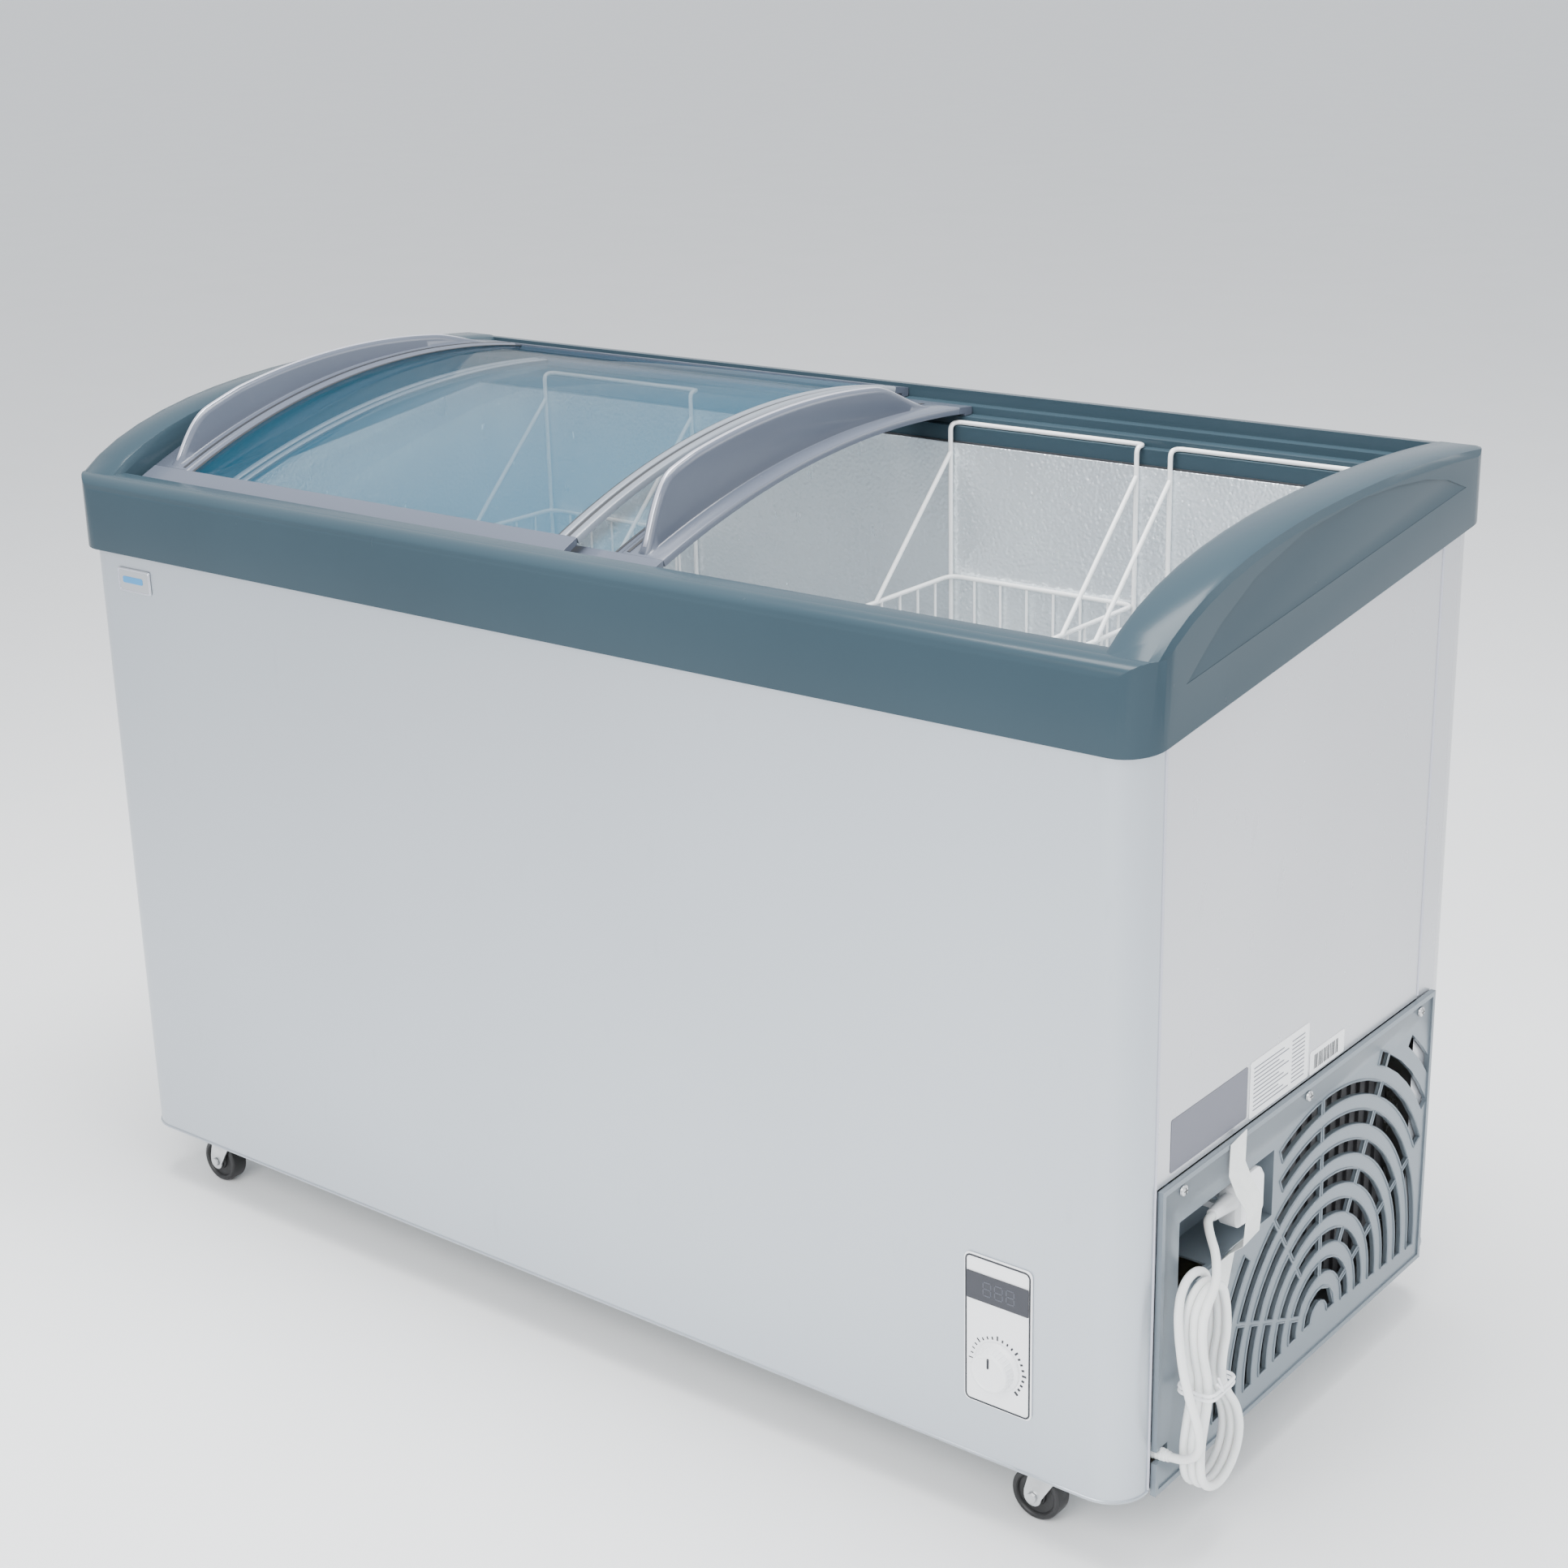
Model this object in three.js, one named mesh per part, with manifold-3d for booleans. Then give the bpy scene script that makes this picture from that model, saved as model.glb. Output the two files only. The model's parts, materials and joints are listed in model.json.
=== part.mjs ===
// Curved-glass chest freezer on casters, in millimetres, +Z up, front towards -Y.
// The origin is on the floor, under the middle of the cabinet.
import * as THREE from 'three';
import { mergeVertices } from 'three/addons/utils/BufferGeometryUtils.js';
import Module from 'manifold-3d';

const wasm = await Module();
wasm.setup();

// ---- driving dimensions ----------------------------------------------------

const BODY_X = 650; // half the width over the steel skins
const BODY_Y = 302; // half the depth over the steel skins
const CASTER_HEIGHT = 66; // floor to the underside of the body
const SHEET = 1; // thickness of the steel skins
const GAP = 0.3; // clearance between pieces that touch
const CORNER_RADIUS = 36; // upright corners of the body

const FRAME_X = 658; // half the width over the moulded top frame
const FRAME_Y = 308; // half the depth over the moulded top frame
const FRAME_RADIUS = 34;
const FRAME_SLOPE = 0.126; // the frame's underside rises towards the rear
const FRAME_UNDERSIDE_FRONT = 712; // at the front wall of the tub
const SKIRT_DROP = 27.5; // the frame's skirt hangs this far over the skins
const CAP_X = 606; // inner face of the frame's arched ends
const SKIRT_HEIGHT = 43;
const CRESCENT_LEAN = 0.1; // how far each end's recessed face leans inwards per millimetre of height

const TUB_X = 590; // inner faces of the tub
const TUB_Y = 242;
const TUB_FLOOR = 60;
const TUB_STEP_X = 288; // the tub is shallower past here, over the machine compartment
const TUB_STEP_Z = 345;
const TUB_SHEET = 1.5;
const MACHINE_X = 345; // inner wall and ceiling of the machine compartment
const MACHINE_Z = 295;

const SEAM_FRONT_Y = -262; // upright seams between the wrapped and the flat panels
const SEAM_REAR_Y = 230;

const UPPER_ARC = { y: 116.2, z: -42.3, r: 873.6 }; // top face of the left lid's glass
const LOWER_ARC = { y: 158.3, z: -298.9, r: 1110.3 }; // top face of the right lid's glass
const LID_WIDTH = 608;
const LID_BORDER = 58; // width of the side frame that carries the fin
const LID_TRIM = 22; // width of the frame on the other side
const FIN_OFFSET = 22; // from the lid's edge to the fin
const FIN_THICKNESS = 12;
const FIN_HEIGHT = 34;
const GLASS = 4;

const BASKET_WIDTH = 228;
const BASKET_REAR_Y = 238;
const BASKET_FRONT_Y = -228;
const BASKET_RIM_Z = 632;
const BASKET_FLOOR_Z = 380;
const REAR_LEDGE_Z = 790; // ledges that the baskets hang on
const FRONT_LEDGE_Z = 712;
const WIRE = 2.5; // radius of the basket wire
const BASKET_WALL = 1.5;
const BASKETS = { basket_left: -368, basket_middle: 208, basket_right: 469 };

const LOWER_TRACK_Z = { front: 722, rear: 798 }; // the lids' feet slide on these
const UPPER_TRACK_Z = { front: 733, rear: 806 };
const LIP_Z = { front: 754, rear: 819 }; // the rails' outer edges

const GRILLE_TOP = 289;
const GRILLE_BOTTOM = -4;
const GRILLE_Y = 259;
const GRILLE_FACE = BODY_X + 4.4;
const SLOT_CENTRE = { y: 41, z: 30 };
const SLOT_PITCH = 28.5;
const SLOT_WIDTH = 12.5;
const BRIDGE_WIDTH = 4;
const BRIDGE_ANGLES = [-4, 27, 61, 93, 124, 157, 184]; // degrees, between one slot and the next

const CORD_RADIUS = 4;
const KNOB_FRONT = 320; // the thermostat knob is the frontmost piece
const CENTRE_SHIFT = (KNOB_FRONT - FRAME_Y) / 2; // puts the origin under the middle of the whole

const WHEEL_RADIUS = 25;
const WHEEL_WIDTH = 20;
const WHEEL_TRAIL = 14; // from the swivel axis to the axle
const CASTER_X = 555;
const CASTER_Y = 262;

// ---- materials -------------------------------------------------------------

const paint = (color, roughness, metalness = 0) =>
  new THREE.MeshStandardMaterial({ color, roughness, metalness });

const STEEL = paint(0xc8ccd2, 0.38, 0.7);
const GALVANISED = paint(0x9da2a6, 0.5, 0.8);
const LINER = paint(0xc9ced2, 0.35, 0.9);
const FOAM = paint(0xe0cf9a, 0.9);
const FRAME_TEAL = paint(0x66797f, 0.25);
const LID_GREY = paint(0x9493a1, 0.3);
const GLASS_BLUE = paint(0x9ec6d4, 0.05);
const WHITE_WIRE = paint(0xf4f5f5, 0.35);
const GRILLE_GREY = paint(0x8b98a2, 0.5);
const WHITE_PLASTIC = paint(0xeeeef0, 0.35);
const DARK_PLASTIC = paint(0x3a3c46, 0.3);
const BLACK = paint(0x141416, 0.45);
const ZINC = paint(0xb9bcc0, 0.35, 0.9);
const CORD_WHITE = paint(0xf0f0ee, 0.5);
const SILVER = paint(0xb4b8bc, 0.3, 0.8);

// ---- solids ----------------------------------------------------------------

function solid(geometry) {
  const bare = geometry.clone();
  bare.deleteAttribute('normal');
  bare.deleteAttribute('uv');
  const merged = mergeVertices(bare);
  return new wasm.Manifold(new wasm.Mesh({
    numProp: 3,
    vertProperties: new Float32Array(merged.attributes.position.array),
    triVerts: new Uint32Array(merged.index.array),
  }));
}

function toGeometry(shape) {
  const mesh = shape.getMesh();
  const geometry = new THREE.BufferGeometry();
  geometry.setAttribute('position', new THREE.BufferAttribute(mesh.vertProperties, 3));
  geometry.setIndex(new THREE.BufferAttribute(mesh.triVerts, 1));
  geometry.computeVertexNormals();
  return geometry;
}

const union = (...solids) => solids.reduce((sum, next) => sum.add(next));

function box(x0, x1, y0, y1, z0, z1) {
  const geometry = new THREE.BoxGeometry(x1 - x0, y1 - y0, z1 - z0);
  geometry.translate((x0 + x1) / 2, (y0 + y1) / 2, (z0 + z1) / 2);
  return solid(geometry);
}

function outline(points) {
  return new THREE.Shape(points.map(([u, v]) => new THREE.Vector2(u, v)));
}

const EXTRUDE = { bevelEnabled: false, curveSegments: 4 };

// A section drawn in (y, z), run along X.
function alongXGeometry(shape, x0, x1, options = {}) {
  const geometry = new THREE.ExtrudeGeometry(shape, { ...EXTRUDE, depth: x1 - x0, ...options });
  const yzToX = new THREE.Matrix4().makeBasis(
    new THREE.Vector3(0, 1, 0), new THREE.Vector3(0, 0, 1), new THREE.Vector3(1, 0, 0));
  return geometry.applyMatrix4(yzToX).translate(x0, 0, 0);
}

const alongX = (...section) => solid(alongXGeometry(...section));

// A section drawn in (x, z), run along Y.
function alongY(shape, y0, y1) {
  const geometry = new THREE.ExtrudeGeometry(shape, { ...EXTRUDE, depth: y1 - y0 });
  return solid(geometry.rotateX(Math.PI / 2).translate(0, y1, 0));
}

// A plan drawn in (x, y), run up Z.
function alongZ(shape, z0, z1) {
  const geometry = new THREE.ExtrudeGeometry(shape, { ...EXTRUDE, depth: z1 - z0 });
  return solid(geometry.translate(0, 0, z0));
}

function roundedPlan(halfX, halfY, radius) {
  const plan = new THREE.Shape();
  const cornerX = halfX - radius;
  const cornerY = halfY - radius;
  plan.absarc(cornerX, cornerY, radius, 0, Math.PI / 2);
  plan.absarc(-cornerX, cornerY, radius, Math.PI / 2, Math.PI);
  plan.absarc(-cornerX, -cornerY, radius, Math.PI, 1.5 * Math.PI);
  plan.absarc(cornerX, -cornerY, radius, 1.5 * Math.PI, 2 * Math.PI);
  return plan;
}

// A turned piece: [radius, height] pairs from the axis and back to it, standing on +Z.
function turned(profile, segments = 20) {
  const points = profile.map(([r, z]) => new THREE.Vector2(r, z));
  return new THREE.LatheGeometry(points, segments).rotateX(Math.PI / 2);
}

const turnedToX = (profile, segments) => turned(profile, segments).rotateY(Math.PI / 2);
const turnedToFront = (profile, segments) => turned(profile, segments).rotateX(Math.PI / 2);

// A straight round wire from a to b, a little longer at both ends so that joints close.
function wire(a, b, radius = WIRE) {
  const start = new THREE.Vector3(...a);
  const end = new THREE.Vector3(...b);
  const along = end.clone().sub(start);
  const geometry = new THREE.CylinderGeometry(radius, radius, along.length() + radius, 6);
  const turn = new THREE.Quaternion().setFromUnitVectors(
    new THREE.Vector3(0, 1, 0), along.normalize());
  geometry.applyQuaternion(turn);
  const middle = start.add(end).multiplyScalar(0.5);
  return solid(geometry.translate(middle.x, middle.y, middle.z));
}

function piece(name, shape, material, parent) {
  const geometry = shape.isBufferGeometry ? toGeometry(solid(shape)) : toGeometry(shape);
  const mesh = new THREE.Mesh(geometry, material);
  mesh.name = name;
  parent.add(mesh);
  return mesh;
}

const radians = THREE.MathUtils.degToRad;

// ---- cabinet ---------------------------------------------------------------

const frameUnderside = (y) => FRAME_UNDERSIDE_FRONT + (y + TUB_Y) * FRAME_SLOPE;

// Everything under the frame's sloping underside, as a wide solid that only trims others.
function underFrame(offset) {
  const reach = 400;
  return alongX(outline([
    [-reach, -100],
    [reach, -100],
    [reach, frameUnderside(reach) + offset],
    [-reach, frameUnderside(-reach) + offset],
  ]), -700, 700);
}

function frontWrapPanel() {
  const cornerX = BODY_X - CORNER_RADIUS;
  const cornerY = -(BODY_Y - CORNER_RADIUS);
  const inner = CORNER_RADIUS - SHEET;
  const plan = new THREE.Shape();
  plan.moveTo(BODY_X - SHEET, SEAM_FRONT_Y);
  plan.absarc(cornerX, cornerY, inner, 0, -Math.PI / 2, true);
  plan.absarc(-cornerX, cornerY, inner, -Math.PI / 2, -Math.PI, true);
  plan.lineTo(-BODY_X + SHEET, SEAM_FRONT_Y);
  plan.lineTo(-BODY_X, SEAM_FRONT_Y);
  plan.absarc(-cornerX, cornerY, CORNER_RADIUS, -Math.PI, -Math.PI / 2, false);
  plan.absarc(cornerX, cornerY, CORNER_RADIUS, -Math.PI / 2, 0, false);
  plan.lineTo(BODY_X, SEAM_FRONT_Y);
  return alongZ(plan, 0, frameUnderside(-BODY_Y) - GAP);
}

function rearPanel() {
  const radius = CORNER_RADIUS;
  const cornerX = BODY_X - radius;
  const cornerY = BODY_Y - radius;
  const inner = radius - SHEET;
  const plan = new THREE.Shape();
  plan.moveTo(BODY_X, SEAM_REAR_Y + GAP);
  plan.absarc(cornerX, cornerY, radius, 0, Math.PI / 2, false);
  plan.absarc(-cornerX, cornerY, radius, Math.PI / 2, Math.PI, false);
  plan.lineTo(-BODY_X, SEAM_REAR_Y + GAP);
  plan.lineTo(-BODY_X + SHEET, SEAM_REAR_Y + GAP);
  plan.absarc(-cornerX, cornerY, inner, Math.PI, Math.PI / 2, true);
  plan.absarc(cornerX, cornerY, inner, Math.PI / 2, 0, true);
  plan.lineTo(BODY_X - SHEET, SEAM_REAR_Y + GAP);
  return alongZ(plan, 0, 900).intersect(underFrame(0));
}

function sidePanel(side, bottom) {
  const [x0, x1] = side > 0 ? [BODY_X - SHEET, BODY_X] : [-BODY_X, -BODY_X + SHEET];
  return box(x0, x1, SEAM_FRONT_Y + GAP, SEAM_REAR_Y, bottom, 900).intersect(underFrame(0));
}

function basePan() {
  const inset = SHEET + GAP;
  const plan = roundedPlan(BODY_X - inset, BODY_Y - inset, CORNER_RADIUS - inset);
  return alongZ(plan, 0, SHEET);
}

// The tub's side view, grown outwards by some thickness, open above.
function tubSection(grow, top) {
  return outline([
    [-TUB_X - grow, TUB_FLOOR - grow],
    [TUB_STEP_X + grow, TUB_FLOOR - grow],
    [TUB_STEP_X + grow, TUB_STEP_Z - grow],
    [TUB_X + grow, TUB_STEP_Z - grow],
    [TUB_X + grow, top],
    [-TUB_X - grow, top],
  ]);
}

function tubSpace(grow) {
  return alongY(tubSection(grow, 900), -TUB_Y - grow, TUB_Y + grow);
}

function innerLiner() {
  return tubSpace(TUB_SHEET).intersect(underFrame(0)).subtract(tubSpace(0));
}

function insulationFoam() {
  const inset = SHEET + GAP;
  const block = alongZ(
    roundedPlan(BODY_X - inset, BODY_Y - inset, CORNER_RADIUS - inset), SHEET + GAP, 900);
  const machineSpace = box(MACHINE_X, BODY_X + 1, -BODY_Y, BODY_Y, 0, MACHINE_Z);
  return block.intersect(underFrame(0)).subtract(tubSpace(TUB_SHEET + GAP)).subtract(machineSpace);
}

function frontRail() {
  const section = new THREE.Shape();
  section.moveTo(-FRAME_Y, 600);
  section.lineTo(-TUB_Y + 11, 600);
  section.lineTo(-TUB_Y + 11, FRONT_LEDGE_Z);
  section.lineTo(-TUB_Y - 1, FRONT_LEDGE_Z);
  section.lineTo(-TUB_Y - 1, LOWER_TRACK_Z.front);
  section.lineTo(-257, LOWER_TRACK_Z.front);
  section.lineTo(-257, UPPER_TRACK_Z.front);
  section.lineTo(-273, UPPER_TRACK_Z.front);
  section.lineTo(-273, LIP_Z.front);
  section.lineTo(-294, LIP_Z.front);
  section.quadraticCurveTo(-306, LIP_Z.front - 2, -FRAME_Y, 739);
  return alongX(section, -FRAME_X, FRAME_X, { curveSegments: 4 });
}

function rearRail() {
  const section = new THREE.Shape();
  section.moveTo(TUB_Y + 4, 600);
  section.lineTo(FRAME_Y, 600);
  section.lineTo(FRAME_Y, 804);
  section.quadraticCurveTo(307, 818, 296, LIP_Z.rear);
  section.lineTo(288, LIP_Z.rear);
  section.lineTo(288, UPPER_TRACK_Z.rear);
  section.lineTo(274, UPPER_TRACK_Z.rear);
  section.lineTo(274, LOWER_TRACK_Z.rear);
  section.lineTo(258, LOWER_TRACK_Z.rear);
  section.lineTo(258, REAR_LEDGE_Z);
  section.lineTo(TUB_Y + 4, REAR_LEDGE_Z);
  return alongX(section, -FRAME_X, FRAME_X, { curveSegments: 4 });
}

function archedEnd(side) {
  const bevel = 9;
  const arch = new THREE.Shape();
  arch.moveTo(-FRAME_Y, 600);
  arch.lineTo(FRAME_Y, 600);
  arch.lineTo(FRAME_Y, 797);
  arch.quadraticCurveTo(306, 820, 284, 822);
  arch.bezierCurveTo(220, 828, 140, 831, 60, 829);
  arch.bezierCurveTo(-90, 826, -225, 808, -292, LIP_Z.front);
  arch.quadraticCurveTo(-306, LIP_Z.front - 5, -FRAME_Y, 739);
  const low = side > 0 ? CAP_X : -FRAME_X;
  return alongX(arch, low + bevel, low + FRAME_X - CAP_X - bevel, {
    depth: FRAME_X - CAP_X - 2 * bevel,
    bevelEnabled: true,
    bevelThickness: bevel,
    bevelSize: bevel,
    bevelOffset: -bevel,
    bevelSegments: 2,
    curveSegments: 10,
  });
}

// The recess in each end: its face leans inwards from the upper edge of the skirt.
function crescent(side) {
  const middle = frameUnderside(0) - SKIRT_DROP + SKIRT_HEIGHT;
  const skirtTop = (y) => middle + y * FRAME_SLOPE;
  const recess = new THREE.Shape();
  recess.moveTo(-248, skirtTop(-248));
  recess.lineTo(252, skirtTop(252));
  recess.bezierCurveTo(205, 812, 140, 819, 42, 819);
  recess.bezierCurveTo(-110, 818, -195, 775, -248, skirtTop(-248));
  const depth = 14;
  const step = 0.4;
  const start = side > 0 ? FRAME_X - step : -FRAME_X + step - depth;
  const lean = side * CRESCENT_LEAN;
  const leaning = new THREE.Matrix4().set(
    1, lean * FRAME_SLOPE, -lean, lean * middle,
    0, 1, 0, 0,
    0, 0, 1, 0,
    0, 0, 0, 1);
  return solid(alongXGeometry(recess, start, start + depth).applyMatrix4(leaning));
}

function sideLedge(side) {
  const height = 10;
  const ledge = outline([
    [-BODY_Y + 1, frameUnderside(-BODY_Y + 1)],
    [BODY_Y - 1, frameUnderside(BODY_Y - 1)],
    [BODY_Y - 1, frameUnderside(BODY_Y - 1) + height],
    [-BODY_Y + 1, frameUnderside(-BODY_Y + 1) + height],
  ]);
  const [x0, x1] = side > 0 ? [TUB_X + 1, CAP_X + 10] : [-CAP_X - 10, -TUB_X - 1];
  return alongX(ledge, x0, x1);
}

function topFrame() {
  const ring = union(
    frontRail(), rearRail(), archedEnd(1), archedEnd(-1), sideLedge(1), sideLedge(-1));
  const plan = alongZ(roundedPlan(FRAME_X, FRAME_Y, FRAME_RADIUS), 500, 900);
  const clearance = 2 * GAP;
  const insidePlan = roundedPlan(BODY_X + clearance, BODY_Y + clearance, CORNER_RADIUS);
  const body = alongZ(insidePlan, 400, 900).intersect(underFrame(GAP));
  return ring.intersect(plan)
    .subtract(body)
    .subtract(underFrame(-SKIRT_DROP))
    .subtract(crescent(1))
    .subtract(crescent(-1));
}

function buildCabinet(cabinet) {
  piece('front_wrap_panel', frontWrapPanel(), STEEL, cabinet);
  piece('left_side_panel', sidePanel(-1, 0), STEEL, cabinet);
  piece('right_side_panel', sidePanel(1, GRILLE_TOP + 1), STEEL, cabinet);
  piece('rear_panel', rearPanel(), STEEL, cabinet);
  piece('base_pan', basePan(), GALVANISED, cabinet);
  piece('insulation_foam', insulationFoam(), FOAM, cabinet);
  piece('inner_liner', innerLiner(), LINER, cabinet);
  piece('top_frame', topFrame(), FRAME_TEAL, cabinet);
}

// ---- lids ------------------------------------------------------------------

const arcHeight = (arc, y) => arc.z + Math.sqrt(arc.r ** 2 - (y - arc.y) ** 2);

// A strip that follows a lid's arc from front to rear, its top raised by some amount.
function arcBand(arc, front, rear, raise, thickness) {
  const angle = (y) => Math.acos((y - arc.y) / arc.r);
  const outer = arc.r + raise;
  const band = new THREE.Shape();
  band.absarc(arc.y, arc.z, outer, angle(rear), angle(front), false);
  band.absarc(arc.y, arc.z, outer - thickness, angle(front), angle(rear), true);
  return band;
}

// The fin that serves as the lid's handle: it rises from its front foot to the same height on
// both lids, and sinks towards the rear.
function finSection(arc, front, rear) {
  const steps = 24;
  const ease = (t) => THREE.MathUtils.smoothstep(t, 0, 1);
  const top = [];
  for (let i = 0; i <= steps; i++) {
    const y = THREE.MathUtils.lerp(front, rear, (i / steps) ** 1.3);
    const rise = ease((y - front) / 62) ** 0.6;
    const fall = ease((rear - y) / 110);
    const fade = THREE.MathUtils.mapLinear(y, -130, rear, 1, 0.15);
    const above = FIN_HEIGHT * Math.min(fade, 1);
    const reach = arcHeight(UPPER_ARC, y) - arcHeight(arc, y) + above;
    top.push([y, arcHeight(arc, y) + reach * rise * fall]);
  }
  const foot = 3;
  const bottom = [[front, arcHeight(arc, front) - foot]];
  for (let i = 1; i <= steps / 2; i++) {
    const y = THREE.MathUtils.lerp(front, rear, i / (steps / 2));
    bottom.push([y, arcHeight(arc, y) - foot]);
  }
  return outline([...bottom, ...top.reverse()]);
}

const LIDS = [
  {
    name: 'left_lid', edge: -600, direction: 1, arc: UPPER_ARC,
    front: [-272, -238], rear: [264, 287],
    frontFoot: [-271, -259, UPPER_TRACK_Z.front + 0.5],
    rearFoot: [275.5, 286.5, UPPER_TRACK_Z.rear + 0.5],
  },
  {
    name: 'right_lid', edge: 100, direction: -1, arc: LOWER_ARC,
    front: [-256, -223], rear: [250, 272],
    frontFoot: [-255.5, -244.5, LOWER_TRACK_Z.front + 0.5],
    rearFoot: [259.5, 271.5, LOWER_TRACK_Z.rear + 0.5],
  },
];

function buildLid(lid, cabinet) {
  const { arc, front, rear } = lid;
  const group = new THREE.Group();
  cabinet.add(group);
  const plate = 7;
  const raise = 1;
  // x of a stretch measured inwards from the lid's handle edge
  const span = (from, to) => (lid.direction > 0
    ? [lid.edge + from, lid.edge + to] : [lid.edge - to, lid.edge - from]);
  const strip = (ends, foot) => {
    const [footFront, footRear, footBottom] = foot;
    const [x0, x1] = span(0, LID_WIDTH);
    const sole = box(x0, x1, footFront, footRear, footBottom,
      arcHeight(arc, (footFront + footRear) / 2) - plate / 2);
    return alongX(arcBand(arc, ...ends, raise, plate), x0, x1, { curveSegments: 3 }).add(sole);
  };
  const field = [front[1] + GAP, rear[0] - GAP];
  const sideBand = arcBand(arc, ...field, raise, plate);
  const fin = alongX(finSection(arc, field[0] + 2, field[1] - 2),
    ...span(FIN_OFFSET, FIN_OFFSET + FIN_THICKNESS));

  piece(`${lid.name}_front_strip`, strip(front, lid.frontFoot), LID_GREY, group);
  piece(`${lid.name}_rear_strip`, strip(rear, lid.rearFoot), LID_GREY, group);
  piece(`${lid.name}_handle_frame`,
    alongX(sideBand, ...span(0, LID_BORDER), { curveSegments: 8 }).add(fin), LID_GREY, group);
  piece(`${lid.name}_trim`,
    alongX(sideBand, ...span(LID_WIDTH - LID_TRIM, LID_WIDTH), { curveSegments: 8 }),
    LID_GREY, group);
  piece(`${lid.name}_glass`,
    alongX(arcBand(arc, ...field, -1, GLASS),
      ...span(LID_BORDER + GAP, LID_WIDTH - LID_TRIM - GAP), { curveSegments: 10 }),
    GLASS_BLUE, group);
}

// ---- baskets ---------------------------------------------------------------

// One basket: thin walls and a floor in place of the welded wire mesh, a wire rim, and a
// braced wire hanger at each end.
function basket() {
  const half = BASKET_WIDTH / 2 - WIRE;
  const [front, rear] = [BASKET_FRONT_Y, BASKET_REAR_Y];
  const [rim, floor] = [BASKET_RIM_Z, BASKET_FLOOR_Z];
  const outer = half + WIRE;
  const inner = outer - BASKET_WALL;
  const shell = box(-outer, outer, front - WIRE, rear + WIRE, floor, rim)
    .subtract(box(-inner, inner, front - WIRE + BASKET_WALL, rear + WIRE - BASKET_WALL,
      floor + BASKET_WALL, rim + 1));
  const wires = [
    wire([-half, front, rim], [half, front, rim]),
    wire([-half, rear, rim], [half, rear, rim]),
    wire([-half, front, rim], [-half, rear, rim]),
    wire([half, front, rim], [half, rear, rim]),
  ];
  const hangers = [
    { y: rear, hookY: rear + 14, top: REAR_LEDGE_Z + WIRE + GAP, brace: [-133, 0.82] },
    { y: front, hookY: front - 9, top: FRONT_LEDGE_Z + WIRE + GAP, brace: [60, 0.75] },
  ];
  for (const { y, hookY, top, brace: [reach, share] } of hangers) {
    const braceTop = THREE.MathUtils.lerp(rim, top, share);
    for (const x of [-half, half]) {
      wires.push(wire([x, y, rim], [x, y, top]));
      wires.push(wire([x, y, top], [x, hookY, top]));
      wires.push(wire([x, y, braceTop], [x, y + reach, rim]));
    }
    wires.push(wire([-half, hookY, top], [half, hookY, top]));
  }
  return union(shell, ...wires);
}

// ---- machine compartment ---------------------------------------------------

// A slot between two angles, in degrees, of the ring of a given number.
function arcSlot(ring, from, to) {
  const radius = 24 + ring * SLOT_PITCH;
  const bridge = THREE.MathUtils.radToDeg(BRIDGE_WIDTH / 2 / radius);
  const [start, end] = [radians(from + bridge), radians(to - bridge)];
  const slot = new THREE.Shape();
  slot.absarc(SLOT_CENTRE.y, SLOT_CENTRE.z, radius + SLOT_WIDTH / 2, start, end, false);
  slot.absarc(SLOT_CENTRE.y, SLOT_CENTRE.z, radius - SLOT_WIDTH / 2, end, start, true);
  return slot;
}

// Where each ring is open, in degrees; the outer rings stop at the pocket and the edges.
function openStretches(ring) {
  if (ring === 9) return [[38, 53]];
  if (ring === 8) return [[33, 66]];
  if (ring === 7) return [[27, 114], [146, 184]];
  if (ring === 6) return [[-4, 117], [138, 184]];
  return [[-4, 184]];
}

// The bridges that cross a ring: none on the smallest, and every second one on the next.
const bridges = (ring) => BRIDGE_ANGLES.filter((_, i) => ring > 1 || (ring === 1 && i % 2 === 1));

function grilleSlots() {
  const slots = [];
  for (let ring = 0; ring < 10; ring++) {
    for (const [low, high] of openStretches(ring)) {
      const stops = bridges(ring).filter((angle) => angle > low + 4 && angle < high - 4);
      const edges = [low, ...stops, high];
      for (let i = 1; i < edges.length; i++) slots.push(arcSlot(ring, edges[i - 1], edges[i]));
    }
  }
  return slots;
}

const POCKET = { y0: -228, y1: -62, z0: 183, z1: 248, hole: -173, back: 606 };

function machineGrille() {
  const back = BODY_X + 2 * GAP;
  const { y0, y1, z0, z1, hole, back: depth } = POCKET;
  const cut = (section) => alongX(section, back - 1, GRILLE_FACE + 1, { curveSegments: 2 });
  const holes = union(...grilleSlots().map(cut), box(back - 1, GRILLE_FACE + 1, y0, y1, z0, z1));
  const plate = box(back, GRILLE_FACE, -GRILLE_Y, GRILLE_Y + 1, GRILLE_BOTTOM, GRILLE_TOP)
    .subtract(holes);
  const rim = box(back, GRILLE_FACE + 1.6, -GRILLE_Y, GRILLE_Y + 1, GRILLE_BOTTOM, GRILLE_TOP)
    .subtract(box(back - 1, GRILLE_FACE + 2, -GRILLE_Y + 5, GRILLE_Y - 4,
      GRILLE_BOTTOM + 5, GRILLE_TOP - 5));
  const wall = 2;
  const tray = box(depth, back + 1, hole, y1 + wall, z0 - wall, z1 + wall)
    .subtract(box(depth + wall, back + 2, hole - 1, y1, z0, z1));
  const shelf = box(back, GRILLE_FACE + 3, -201, -138, 162, z0 - 1);
  const cordSlot = box(back - 1, GRILLE_FACE + 5, -GRILLE_Y - 1, -238, 28, 40);
  return union(plate, rim, tray, shelf).subtract(cordSlot);
}

const GRILLE_SCREWS = [[-224, 277], [0, 277], [230, 277]];

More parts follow.
